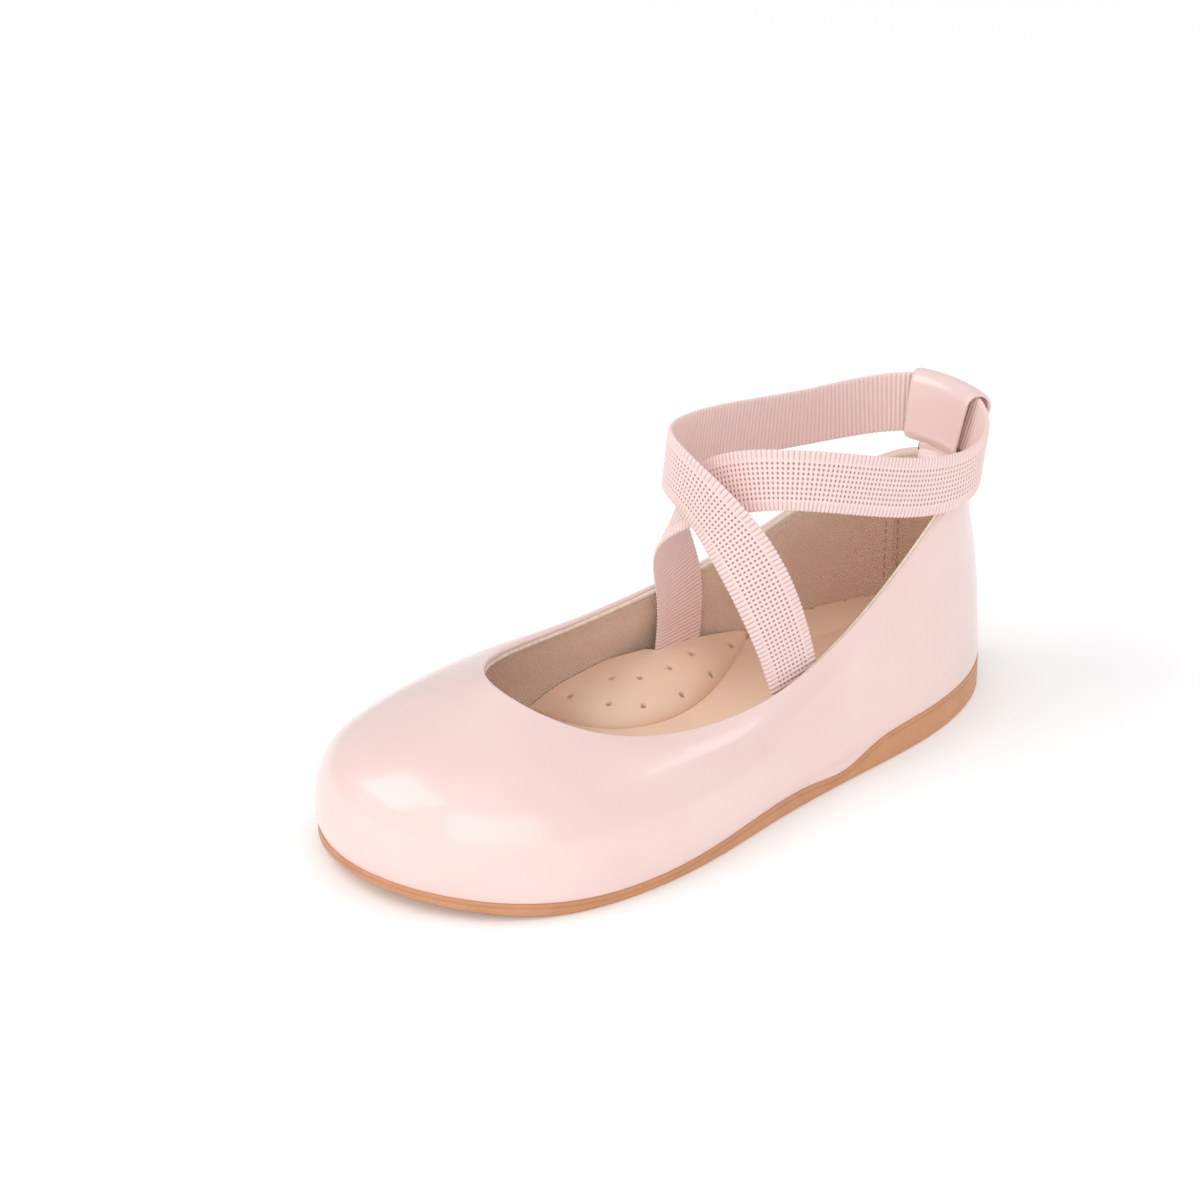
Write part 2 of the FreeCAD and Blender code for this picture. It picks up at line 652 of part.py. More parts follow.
# ---------------------------------------------------------------- elastic strap
# One strap: up from the lateral side of the footbed, across the instep, back along the
# medial side, through the loop at the heel, forward along the lateral side, under itself
# at the instep and down to the medial side. Each point: x, y, z, the direction in degrees
# that the outer face looks in plan, and how far it leans up.
STRAP = [
    (27.0, 14.5, 6.2, 0, 0), (27.3, 14.3, 14, 0, 0), (26.0, 13.8, 23, 0, 4),
    (24.3, 12.8, 32, -4, 8), (22.8, 9.8, 43, -14, 10), (18.8, 7.0, 54, -32, 10),
    (12.6, 4.6, 63, -58, 8), (5, 2.8, 69.6, -84, 6), (-4, 3.0, 73, -104, 5),
    (-13.6, 7.0, 73, -130, 5), (-20.6, 16, 71, -158, 3), (-23.4, 30, 69, -176, 0),
    (-23.8, 46, 66.4, 178, 0), (-22, 61, 65.0, 168, 0), (-18.8, 75, 65, 148, -6),
    (-10.5, 86, 66.5, 112, -16), (0, 86.2, 66.4, 90, -17), (10.7, 85.1, 67.0, 66, -16),
    (20.4, 79.4, 62.8, 34, -6), (24.6, 67, 62.2, 14, 0), (25.4, 52, 65, 2, 0),
    (24.4, 37, 70, -8, 0), (21.2, 24, 74, -24, 4), (15, 15.2, 75, -48, 8),
    (6.5, 11.6, 72.6, -76, 12), (-2.5, 10.6, 67.8, -98, 18), (-10.5, 10.2, 61.4, -124, 22),
    (-16.6, 11.6, 54, -148, 22), (-19.6, 14.8, 45.4, -166, 14), (-20.6, 18.4, 36, -176, 8),
    (-22.4, 20.8, 26, 180, 5), (-24.6, 21.6, 17, 180, 0), (-25.2, 22, 7.0, 180, 0)]


def strap_corners(half_width, half_thick):
    """Pole rows of the strap's four long edges: outer low, outer high, inner low, inner high."""
    centres = [V(p[0] * WIDE, p[1] * LONG, p[2]) for p in STRAP]
    edges = [[], [], [], []]
    for k, (x, y, z, facing, lean) in enumerate(STRAP):
        ahead = centres[min(k + 1, len(centres) - 1)] - centres[max(k - 1, 0)]
        ahead.normalize()
        turn, tip = math.radians(facing), math.radians(lean)
        out = V(math.cos(turn) * math.cos(tip), math.sin(turn) * math.cos(tip), math.sin(tip))
        across = ahead.cross(out)
        across.normalize()
        out = across.cross(ahead)
        for slot, (a, b) in enumerate(((-1, 1), (1, 1), (-1, -1), (1, -1))):
            edges[slot].append(centres[k] + across * (a * half_width) + out * (b * half_thick))
    return edges


STRAP_EDGES = strap_corners(0.5 * size("elastic_width"), 0.5 * size("elastic_thickness"))
STRAP_KNOTS, STRAP_MULTS = clamped_knots(len(STRAP))


def strap_piece(start, end):
    """The length of strap between two places along it."""

    def patch(a, b):
        surface = Part.BSplineSurface()
        columns = [[p, q] for p, q in zip(STRAP_EDGES[a], STRAP_EDGES[b])]
        surface.buildFromPolesMultsKnots(columns, STRAP_MULTS, [2, 2], STRAP_KNOTS, [0, 1],
                                         False, False, 3, 1)
        surface.segment(start, end, 0, 1)
        return surface

    return sewn_solid(faces_between(patch(0, 1), patch(2, 3)))


STRAP_END = float(STRAP_KNOTS[-1])
LATERAL_SPLIT = 3.35
MEDIAL_SPLIT = STRAP_END - 3.6
SPLIT_GAP = 0.035
feature("elastic_leg_lateral", strap_piece(0.0, LATERAL_SPLIT))
feature("elastic_band", strap_piece(LATERAL_SPLIT + SPLIT_GAP, MEDIAL_SPLIT - SPLIT_GAP))
feature("elastic_leg_medial", strap_piece(MEDIAL_SPLIT, STRAP_END))


def tack_row(x, y0, y1, z, side):
    """Stitches that hold the strap's end to the lining, on the strap's inner face."""
    stitches = []
    count = 4
    for k in range(count):
        y = y0 + (y1 - y0) * k / (count - 1)
        start = V(x + side * 0.05, y, z)
        stitches.append(Part.makeCylinder(size("stitch_radius"), size("stitch_length"), start,
                                          V(0, 1, 0)))
    return stitches


feature("lateral_tack_stitches", Part.makeCompound(tack_row(26.1, 8.6, 17.8, 10.2, -1)))
feature("medial_tack_stitches", Part.makeCompound(tack_row(-24.15, 16.2, 25.2, 10.2, 1)))

# ---------------------------------------------------------------- heel loop
# A folded tab of patent material that stands on the heel collar and holds the strap.
# Its section is a slot, narrow at the collar and wide at the top.
LOOP_FOOT = V(0, 84.3, 60.5)
LOOP_HEAD = V(0, 87.5, 70.9)
LOOP_FOOT_RADIUS = 1.9
LOOP_HEAD_RADIUS = 2.6
LOOP_CURVE = 30.0
LOOP_CENTRE_Y = 86.0 - LOOP_CURVE


def slot_edges(foot_radius, head_radius):
    """A rounded slot between two circles in the YZ plane, as sketch geometry."""
    y0, z0 = LOOP_FOOT.y - LOOP_CENTRE_Y, LOOP_FOOT.z
    y1, z1 = LOOP_HEAD.y - LOOP_CENTRE_Y, LOOP_HEAD.z
    reach = math.hypot(y1 - y0, z1 - z0)
    heading = math.atan2(z1 - z0, y1 - y0)
    spread = math.acos((foot_radius - head_radius) / reach)
    a, b = heading + spread, heading - spread

    def on(cy, cz, radius, angle):
        return V(cy + radius * math.cos(angle), cz + radius * math.sin(angle), 0)

    foot_a, foot_b = on(y0, z0, foot_radius, a), on(y0, z0, foot_radius, b)
    head_a, head_b = on(y1, z1, head_radius, a), on(y1, z1, head_radius, b)
    foot_end = on(y0, z0, foot_radius, heading + math.pi)
    head_end = on(y1, z1, head_radius, heading)
    return [Part.Arc(foot_a, foot_end, foot_b), Part.LineSegment(foot_b, head_b),
            Part.Arc(head_b, head_end, head_a), Part.LineSegment(head_a, foot_a)]


loop = new_body("heel_loop")
loop_sketch = new_sketch(loop, "heel_loop_section", "YZ_Plane")
LOOP_WALL = size("loop_thickness")
for edge in slot_edges(LOOP_FOOT_RADIUS, LOOP_HEAD_RADIUS):
    loop_sketch.addGeometry(edge, False)
for edge in slot_edges(LOOP_FOOT_RADIUS + LOOP_WALL, LOOP_HEAD_RADIUS + LOOP_WALL):
    loop_sketch.addGeometry(edge, False)
doc.recompute()
bend = loop.newObject("PartDesign::Revolution", "heel_loop_bend")
bend.Profile = loop_sketch
bend.ReferenceAxis = ([item for item in loop.Origin.OriginFeatures if item.Role == "Z_Axis"][0],
                      [""])
bend.Midplane = True
bend.setExpression("Angle", "2 * asin(<<sizes>>.loop_width / %.1f)" % (2 * LOOP_CURVE))
loop.Placement = FreeCAD.Placement(V(0, LOOP_CENTRE_Y, 0), FreeCAD.Rotation())
doc.recompute()
SUBPARTS.append(loop)

# The tab's sewn end lies on the heel lining, inside the collar.
TONGUE_DEPTH = INNER_FACE + 0.05
feature("heel_loop_tongue", panel(-0.45, 0.45, 4.35, 4.93, TONGUE_DEPTH, LOOP_WALL))
tongue_stitches = []
for level in (4.48, 4.72):
    tongue_points, tongue_facing = row_on_layer(
        TONGUE_DEPTH + LOOP_WALL, lambda t, at=level: (-0.42 + 0.95 * t, at))
    tongue_stitches += stitch_row(tongue_points, tongue_facing)
feature("heel_loop_stitching", Part.makeCompound(tongue_stitches))


# ---------------------------------------------------------------- checks and export
def check_all():
    for item in doc.Objects:
        if "Invalid" in item.State or "Error" in item.State:
            raise RuntimeError("%s failed: %s" % (item.Label, item.State))
    for part in SUBPARTS:
        if part.Shape.isNull() or not part.Shape.isValid():
            raise RuntimeError(part.Label + " has no valid shape")


# Everything is drawn about the heel's centre line, then moved so that the origin is the
# bottom centre of the whole shoe.
TO_ORIGIN = V(-0.4, 1.7, 0)
for part in SUBPARTS:
    part.Placement = FreeCAD.Placement(part.Placement.Base + TO_ORIGIN, FreeCAD.Rotation())
doc.recompute()
check_all()
os.makedirs("parts", exist_ok=True)
for part in SUBPARTS:
    part.Shape.exportStep("parts/%s.step" % part.Label)
    box = part.Shape.BoundBox
    print("%-24s solids %3d volume %9.1f  x %6.1f %6.1f  y %6.1f %6.1f  z %6.2f %6.2f" % (
        part.Label, len(part.Shape.Solids), part.Shape.Volume, box.XMin, box.XMax,
        box.YMin, box.YMax, box.ZMin, box.ZMax))
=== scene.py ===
"""Looks of the child's patent ballet flat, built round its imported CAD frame.

The spline nets below are the shoe's own design numbers, in millimetres: +Z up, the toe
towards -Y, the outer side of the foot towards +X. SHIFT takes them to the row frame.
"""
import bpy
import bmesh
import math
import numpy as np
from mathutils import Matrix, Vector
from mathutils.kdtree import KDTree


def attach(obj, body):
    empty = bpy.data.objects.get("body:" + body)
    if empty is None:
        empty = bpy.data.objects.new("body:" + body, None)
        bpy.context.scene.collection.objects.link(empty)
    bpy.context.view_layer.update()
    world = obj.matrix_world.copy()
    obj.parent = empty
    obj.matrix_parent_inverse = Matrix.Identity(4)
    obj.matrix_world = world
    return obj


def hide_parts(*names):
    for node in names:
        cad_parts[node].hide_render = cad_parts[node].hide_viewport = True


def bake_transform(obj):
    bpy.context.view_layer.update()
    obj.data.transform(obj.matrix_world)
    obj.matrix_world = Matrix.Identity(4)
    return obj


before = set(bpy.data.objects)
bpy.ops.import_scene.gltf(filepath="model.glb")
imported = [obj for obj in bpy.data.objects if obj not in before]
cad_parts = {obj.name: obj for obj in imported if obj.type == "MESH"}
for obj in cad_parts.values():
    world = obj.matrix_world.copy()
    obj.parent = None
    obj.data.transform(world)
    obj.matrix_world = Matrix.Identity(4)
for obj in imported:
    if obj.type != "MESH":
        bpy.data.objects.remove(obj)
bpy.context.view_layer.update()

MM = 0.001
SHIFT = np.array([-0.4, 1.7, 0.0])

# ------------------------------------------------------------------ the shoe's numbers
FEATHER = [(2, 92), (17, 84.5), (27.5, 60), (29.5, 30), (32.5, 0), (40.5, -34), (35.5, -76),
           (-1, -99.5), (-38, -82), (-38.5, -44), (-33.5, -4), (-26, 31), (-23, 60), (-14, 84.5)]
TOPLINE = [(2, 85, 57), (13.5, 82, 57), (22.5, 65, 56.5), (26.5, 42, 43), (28.5, 11, 28),
           (28, -19, 27), (21, -45, 31), (-2, -56.5, 40), (-24, -41, 33.5), (-27, -15, 31),
           (-26.5, 12, 33), (-22, 41, 38.5), (-17.5, 63, 50), (-9.5, 82, 57)]
OUTWARD = [(0, 1), (0.75, 0.65), (1, 0.1), (1, 0), (1, 0), (1, 0), (0.8, -0.6),
           (0, -1), (-0.8, -0.6), (-1, 0), (-1, 0), (-1, 0), (-1, 0.1), (-0.75, 0.65)]
LOWER_WALL = [(0.4, 16), (0.4, 16), (1.2, 15), (2, 12), (2, 10), (2, 10), (2.5, 11),
              (3, 12), (2, 11), (2, 10), (2, 10), (2, 12), (1.2, 15), (0.4, 16)]
MIDDLE_WALL = [(0, 29), (0, 29), (0.6, 27), (1.5, 20), (2, 16), (2, 18), (1.5, 23),
               (1.5, 25), (0.5, 21.5), (2, 17), (2, 17), (2, 21), (0.6, 26), (0, 29)]
UPPER_WALL = [(-2.4, 43), (-2, 43), (-1.5, 39), (-0.5, 28), (0, 21), (-4, 24.5), (-9, 31),
              (-11, 33.5), (-8, 29.5), (-4, 25.5), (-1, 24), (-1.5, 27), (-1.5, 36), (-2, 43)]
COLLAR = [(1.2, -8), (1.2, -8), (1.5, -10), (2, -8), (2.5, -4), (5, -1), (10, -0.5),
          (17, -3), (10, -1.5), (5, -1), (3.5, -4), (2.5, -7), (1.5, -9), (1.2, -8)]
FLOOR = [(-104, 7.2), (-94, 5.2), (-82, 3.7), (-68, 2.3), (-50, 1.7), (-25, 1.8), (0, 2.7),
         (18, 2.9), (32, 4.4), (45, 6.1), (62, 6.4), (104, 6.4)]
LIP = [(-104, 8.6), (-94, 6.6), (-84, 5.0), (-72, 3.7), (-60, 2.6), (-44, 2.3), (-26, 2.8),
       (-8, 3.8), (4, 4.2), (13, 3.9), (20, 2.7), (27, 3.0), (35, 6.6), (45, 7.6), (60, 7.6),
       (104, 7.4)]
SPRING = [(-104, 6.4), (-94, 4.3), (-84, 2.5), (-74, 1.0), (-66, 0.1), (-58, -0.3), (-50, -0.5)]
STRAP = [
    (27.0, 14.5, 6.2, 0, 0), (27.3, 14.3, 14, 0, 0), (26.0, 13.8, 23, 0, 4),
    (24.3, 12.8, 32, -4, 8), (22.8, 9.8, 43, -14, 10), (18.8, 7.0, 54, -32, 10),
    (12.6, 4.6, 63, -58, 8), (5, 2.8, 69.6, -84, 6), (-4, 3.0, 73, -104, 5),
    (-13.6, 7.0, 73, -130, 5), (-20.6, 16, 71, -158, 3), (-23.4, 30, 69, -176, 0),
    (-23.8, 46, 66.4, 178, 0), (-22, 61, 65.0, 168, 0), (-18.8, 75, 65, 148, -6),
    (-10.5, 86, 66.5, 112, -16), (0, 86.2, 66.4, 90, -17), (10.7, 85.1, 67.0, 66, -16),
    (20.4, 79.4, 62.8, 34, -6), (24.6, 67, 62.2, 14, 0), (25.4, 52, 65, 2, 0),
    (24.4, 37, 70, -8, 0), (21.2, 24, 74, -24, 4), (15, 15.2, 75, -48, 8),
    (6.5, 11.6, 72.6, -76, 12), (-2.5, 10.6, 67.8, -98, 18), (-10.5, 10.2, 61.4, -124, 22),
    (-16.6, 11.6, 54, -148, 22), (-19.6, 14.8, 45.4, -166, 14), (-20.6, 18.4, 36, -176, 8),
    (-22.4, 20.8, 26, 180, 5), (-24.6, 21.6, 17, 180, 0), (-25.2, 22, 7.0, 180, 0)]
ARCH_NET = [
    [(-33, -16.5, 0.2), (-33.2, -16.6, 0.5), (-33.4, -16.8, 0.8), (-33.7, -17.1, 1.0)],
    [(-24, -14.5, 0.1), (-24.5, -13.5, 3.4), (-29, -9.5, 4.4), (-34.5, -11.5, 4.0)],
    [(-12, -10.5, 0.1), (-12.5, -9.5, 4.0), (-22, -3.5, 5.6), (-33.5, -2.5, 6.0)],
    [(-6.8, 3.5, 0.1), (-7.6, 3.5, 4.0), (-18, 6, 7.0), (-27.5, 9.5, 8.6)],
    [(-9.5, 17.5, 0.1), (-10.3, 17.4, 3.7), (-17.5, 17.5, 7.0), (-24, 18, 8.8)],
    [(-15.5, 31, 0.1), (-16.2, 30.8, 3.0), (-20.5, 30.5, 5.0), (-24.1, 30.5, 6.2)],
    [(-22.6, 42.6, 0.1), (-22.8, 42.7, 0.8), (-23.1, 42.8, 1.6), (-23.5, 43, 2.2)]]
HEEL_INNER = [(-16, 45), (-11.5, 54), (-10.2, 65), (-6.5, 75), (1.6, 79.5), (9.7, 75), (13.8, 65),
              (16.5, 54), (20, 45)]
HEEL_OUTER = [(-24, 44), (-24, 56), (-23, 69), (-18, 84), (2, 94), (21, 84), (28, 69), (29.5, 56),
              (29.5, 44)]
HEEL_RIM = [0.25, 0.8, 0.9, 1.1, 1.25, 1.1, 0.9, 0.8, 0.25]
HEEL_PAD_HEIGHT = 3.6
BED_TOP = 5.45
BED_UNDERSIDE = 4.5
PAD_ROOT_SINK = 0.25
WALL_BOTTOM = 0.9
UPPER = 1.2
LINING_FACE = 2.9
SEAM_STATION = 1.0
STATIONS = len(FEATHER)


# ------------------------------------------------------------------ spline arithmetic
def cardinal(t):
    """Uniform cubic B-spline weight at distance t from a pole."""
    a = np.abs(t)
    inner = (4 - 6 * a ** 2 + 3 * a ** 3) / 6
    outer = (2 - a) ** 3 / 6
    return np.where(a < 1, inner, np.where(a < 2, outer, 0.0))


def round_weights(u, count):
    gap = (np.asarray(u, float)[..., None] - np.arange(count) + count / 2) % count - count / 2
    return cardinal(gap)


def clamped_weights(t, count, degree=3):
    """Weights of a clamped uniform spline's poles at parameters t."""
    spans = count - degree
    t = np.clip(np.asarray(t, float), 0, spans - 1e-9)
    knots = np.array([0] * degree + list(range(spans + 1)) + [spans] * degree, float)
    basis = [np.where((t >= knots[i]) & (t < knots[i + 1]), 1.0, 0.0)
             for i in range(len(knots) - 1)]
    for d in range(1, degree + 1):
        raised = []
        for i in range(len(knots) - d - 1):
            left, right = knots[i + d] - knots[i], knots[i + d + 1] - knots[i + 1]
            a = (t - knots[i]) / left * basis[i] if left else 0.0
            b = (knots[i + d + 1] - t) / right * basis[i + 1] if right else 0.0
            raised.append(a + b)
        basis = raised
    return np.stack(basis, axis=-1)


def side_profile(points):
    """Height as a function of y along a clamped spline of (y, z) poles."""
    t = np.linspace(0, len(points) - 3, 3000)
    curve = clamped_weights(t, len(points)) @ np.array(points, float)
    return lambda y: np.interp(y, curve[:, 0], curve[:, 1])


floor_height = side_profile(FLOOR)
lip_height = side_profile(LIP)
spring_height = side_profile(SPRING)


def unit(v):
    return v / np.maximum(np.linalg.norm(v, axis=-1, keepdims=True), 1e-12)


def last_poles():
    feather, outward = np.array(FEATHER, float), np.array(OUTWARD, float)
    rows = []
    for bulge, lift in ((-10.0, 0.0), (-1.2, -0.1), (1.4, 0.9)):
        xy = feather + outward * bulge
        rows.append(np.column_stack([xy, floor_height(xy[:, 1]) + lift]))
    for wall in (LOWER_WALL, MIDDLE_WALL, UPPER_WALL):
        wall = np.array(wall, float)
        rows.append(np.column_stack([feather + outward * wall[:, :1], wall[:, 1]]))
    top, collar = np.array(TOPLINE, float), np.array(COLLAR, float)
    rows.append(np.column_stack([top[:, :2] + outward * collar[:, :1], top[:, 2] + collar[:, 1]]))
    rows.append(top)
    return np.array(rows)


POLES = last_poles()
TOP = float(len(POLES) - 3)


def on_poles(poles, u, v):
    """Surface points for a column of u and, in each column, a row of v."""
    across = np.einsum("un,rnc->urc", round_weights(u, STATIONS), poles)
    return np.einsum("uvr,urc->uvc", clamped_weights(v, len(POLES)), across)


def inward_at_poles():
    knots = [0.0] * 4 + [1.0, 2.0, 3.0, 4.0] + [TOP] * 4
    result = np.zeros_like(POLES)
    u = np.arange(STATIONS, dtype=float)
    for r in range(len(POLES)):
        v = min(max(sum(knots[r + 1:r + 4]) / 3.0, 0.02), TOP - 0.02)
        level = np.full((STATIONS, 1), v)
        along = on_poles(POLES, u + 0.02, level) - on_poles(POLES, u - 0.02, level)
        rise = on_poles(POLES, u, level + 0.02) - on_poles(POLES, u, level - 0.02)
        result[r] = unit(np.cross(along, rise))[:, 0]
    return result if result[4][0][1] < 0 else -result


INWARD = inward_at_poles()


def skin(u, v, depth):
    """Points on the shoe's wall at stations u and rows v, depth below the outer face."""
    return on_poles(POLES + INWARD * depth, u, v)


class Wall:
    """The wall at a set of stations, addressed by distance below the topline."""

    def __init__(self, u):
        self.u = np.asarray(u, float)
        v = np.tile(np.linspace(TOP, 0.0, 900), (len(self.u), 1))
        points = on_poles(POLES, self.u, v)
        steps = np.linalg.norm(np.diff(points, axis=1), axis=-1)
        self.v = v
        self.length = np.concatenate([np.zeros((len(self.u), 1)), np.cumsum(steps, axis=1)], axis=1)

    def row(self, distance):
        """The surface row v at each station, that distance below the topline."""
        distance = np.broadcast_to(distance, self.u.shape)
        return np.array([np.interp(d, s, v) for d, s, v in zip(distance, self.length, self.v)])

    def point(self, distance, depth):
        v = self.row(distance)[:, None]
        outer, deeper = on_poles(POLES, self.u, v), skin(self.u, v, 1.0)
        return (outer + unit(deeper - outer) * depth)[:, 0]

    def between(self, distance, foot, share, depth):
        """A row part of the way from a distance below the topline down to row v = foot."""
        v = self.row(distance) * (1 - share) + foot * share
        outer = on_poles(POLES, self.u, v[:, None])
        deeper = skin(self.u, v[:, None], 1.0)
        return (outer + unit(deeper - outer) * depth)[:, 0]


# ------------------------------------------------------------------ mesh building
def grid_quads(rows, cols, wrap_rows=False, wrap_cols=False):
    r = np.arange(rows if wrap_rows else rows - 1)
    c = np.arange(cols if wrap_cols else cols - 1)
    rr, cc = np.meshgrid(r, c, indexing="ij")
    r2, c2 = (rr + 1) % rows, (cc + 1) % cols
    quads = np.stack([rr * cols + cc, r2 * cols + cc, r2 * cols + c2, rr * cols + c2], axis=-1)
    return quads.reshape(-1, 4)


def make(name, points, faces, material, smooth=True):
    """A mesh object from points in millimetres."""
    points = np.asarray(points, float).reshape(-1, 3)
    mesh = bpy.data.meshes.new(name)
    mesh.from_pydata(((points + SHIFT) * MM).tolist(), [], [list(map(int, f)) for f in faces])
    mesh.update()
    if smooth:
        mesh.polygons.foreach_set("use_smooth", [True] * len(mesh.polygons))
    obj = bpy.data.objects.new(name, mesh)
    bpy.context.scene.collection.objects.link(obj)
    mesh.materials.append(material)
    return obj


def settle(obj, body, nodes):
    """Outward normals, then the piece rides on its body in place of its CAD nodes."""
    work = bmesh.new()
    work.from_mesh(obj.data)
    bmesh.ops.remove_doubles(work, verts=work.verts, dist=1e-7)
    bmesh.ops.recalc_face_normals(work, faces=work.faces)
    if work.calc_volume(signed=True) < 0:
        bmesh.ops.reverse_faces(work, faces=work.faces)
    work.to_mesh(obj.data)
    work.free()
    if body:
        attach(obj, body)
    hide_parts(*nodes)
    return obj


# ------------------------------------------------------------------ materials
def new_material(name):
    material = bpy.data.materials.new(name)
    material.use_nodes = True
    tree = material.node_tree
    return material, tree, tree.nodes["Principled BSDF"]


def link(tree, a, out, b, into):
    tree.links.new(a.outputs[out], b.inputs[into])


def noise(tree, scale, detail=3.0, stretch=None):
    """Noise in object coordinates, in metres."""
    place = tree.nodes.new("ShaderNodeTexCoord")
    node = tree.nodes.new("ShaderNodeTexNoise")
    node.inputs["Scale"].default_value = scale
    node.inputs["Detail"].default_value = detail
    if stretch:
        mapping = tree.nodes.new("ShaderNodeMapping")
        mapping.inputs["Scale"].default_value = stretch
        link(tree, place, "Object", mapping, "Vector")
        link(tree, mapping, "Vector", node, "Vector")
    else:
        link(tree, place, "Object", node, "Vector")
    return node


def tint(tree, shader, source, out, low, high, start=0.3, end=0.7):
    ramp = tree.nodes.new("ShaderNodeValToRGB")
    ramp.color_ramp.elements[0].position = start
    ramp.color_ramp.elements[1].position = end
    ramp.color_ramp.elements[0].color = (*low, 1)
    ramp.color_ramp.elements[1].color = (*high, 1)
    link(tree, source, out, ramp, 0)
    link(tree, ramp, "Color", shader, "Base Color")
    return ramp


def bump(tree, shader, source, out, strength, distance, into="Normal", below=None):
    node = tree.nodes.new("ShaderNodeBump")
    node.inputs["Strength"].default_value = strength
    node.inputs["Distance"].default_value = distance
    link(tree, source, out, node, "Height")
    if below is not None:
        link(tree, below, "Normal", node, "Normal")
    link(tree, node, "Normal", shader, into)
    return node


def patent_material():
    material, tree, shader = new_material("patent_pink")
    cloud = noise(tree, 38.0, 2.0)
    tint(tree, shader, cloud, "Fac", (0.81, 0.59, 0.555), (0.85, 0.635, 0.6))
    shader.inputs["Roughness"].default_value = 0.33
    shader.inputs["Specular IOR Level"].default_value = 0.5
    shader.inputs["Coat Weight"].default_value = 0.8
    shader.inputs["Coat Roughness"].default_value = 0.13
    shader.inputs["Coat IOR"].default_value = 1.5
    ripple = noise(tree, 95.0, 1.5)
    bump(tree, shader, ripple, "Fac", 0.25, 0.0012, into="Coat Normal")
    return material


def twill_material(name, low, high, angle):
    """Fine diagonal twill: rows of slanted threads."""
    material, tree, shader = new_material(name)
    place = tree.nodes.new("ShaderNodeTexCoord")
    mapping = tree.nodes.new("ShaderNodeMapping")
    mapping.inputs["Rotation"].default_value = (math.radians(angle), 0.0, math.radians(20))
    link(tree, place, "Object", mapping, "Vector")
    wave = tree.nodes.new("ShaderNodeTexWave")
    wave.wave_type = "BANDS"
    wave.bands_direction = "Z"
    wave.inputs["Scale"].default_value = 600.0
    wave.inputs["Distortion"].default_value = 1.2
    wave.inputs["Detail"].default_value = 2.0
    wave.inputs["Detail Scale"].default_value = 3.0
    link(tree, mapping, "Vector", wave, "Vector")
    cross = tree.nodes.new("ShaderNodeTexWave")
    cross.bands_direction = "Y"
    cross.inputs["Scale"].default_value = 640.0
    cross.inputs["Distortion"].default_value = 1.6
    link(tree, mapping, "Vector", cross, "Vector")
    mix = tree.nodes.new("ShaderNodeMath")
    mix.operation = "MULTIPLY"
    link(tree, wave, "Fac", mix, 0)
    link(tree, cross, "Fac", mix, 1)
    tint(tree, shader, mix, "Value", low, high, 0.02, 0.6)
    shader.inputs["Roughness"].default_value = 0.85
    shader.inputs["Sheen Weight"].default_value = 0.25
    bump(tree, shader, mix, "Value", 0.7, 0.0003)
    return material


def cloth_material(name, low, high, scale=700.0):
    material, tree, shader = new_material(name)
    grain = noise(tree, scale, 4.0)
    tint(tree, shader, grain, "Fac", low, high)
    shader.inputs["Roughness"].default_value = 0.8
    shader.inputs["Sheen Weight"].default_value = 0.2
    bump(tree, shader, grain, "Fac", 0.5, 0.0002)
    return material


def sock_material():
    material, tree, shader = new_material("sock_cream")
    cloud = noise(tree, 60.0, 3.0)
    ramp = tint(tree, shader, cloud, "Fac", (0.88, 0.64, 0.48), (0.93, 0.69, 0.53))
    # The near-black mix colour is painted shade inside the perforation holes, masked by this
    # attribute.
    hole_shade = tree.nodes.new("ShaderNodeAttribute")
    hole_shade.attribute_name = "hole_shade"
    mix = tree.nodes.new("ShaderNodeMix")
    mix.data_type = "RGBA"
    mix.inputs[7].default_value = (0.09, 0.04, 0.025, 1)
    tree.links.new(hole_shade.outputs["Fac"], mix.inputs[0])
    tree.links.new(ramp.outputs["Color"], mix.inputs[6])
    tree.links.new(mix.outputs[2], shader.inputs["Base Color"])
    shader.inputs["Roughness"].default_value = 0.5
    shader.inputs["Specular IOR Level"].default_value = 0.4
    place = tree.nodes.new("ShaderNodeTexCoord")
    pores = tree.nodes.new("ShaderNodeTexVoronoi")
    pores.inputs["Scale"].default_value = 1500.0
    link(tree, place, "Object", pores, "Vector")
    bump(tree, shader, pores, "Distance", 0.12, 0.0002)
    return material


def rubber_material():
    material, tree, shader = new_material("sole_caramel")
    cloud = noise(tree, 120.0, 4.0)
    tint(tree, shader, cloud, "Fac", (0.53, 0.245, 0.115), (0.6, 0.29, 0.145))
    shader.inputs["Roughness"].default_value = 0.42
    grain = noise(tree, 2200.0, 2.0)
    bump(tree, shader, grain, "Fac", 0.15, 0.0001)
    return material


def elastic_material():
    """Knit colour with painted shade darkening the mesh's pits, and fine thread strands on top."""
    material, tree, shader = new_material("elastic_pink")
    # This attribute and the ramp's dark end paint shade into the knit's pits.
    pit_shade = tree.nodes.new("ShaderNodeAttribute")
    pit_shade.attribute_name = "pit_shade"
    ramp = tint(tree, shader, pit_shade, "Fac", (0.88, 0.67, 0.64), (0.38, 0.18, 0.17), 0.12, 0.95)
    ramp.color_ramp.interpolation = "EASE"
    shader.inputs["Roughness"].default_value = 0.75
    shader.inputs["Sheen Weight"].default_value = 0.35
    shader.inputs["Sheen Roughness"].default_value = 0.4
    shader.inputs["Subsurface Weight"].default_value = 0.0
    strands = noise(tree, 2600.0, 2.0)
    bump(tree, shader, strands, "Fac", 0.35, 0.00015)
    return material


def thread_material(name, low, high):
    material, tree, shader = new_material(name)
    twist = noise(tree, 3000.0, 1.0)
    tint(tree, shader, twist, "Fac", low, high)
    shader.inputs["Roughness"].default_value = 0.6
    bump(tree, shader, twist, "Fac", 0.3, 0.0001)
    return material


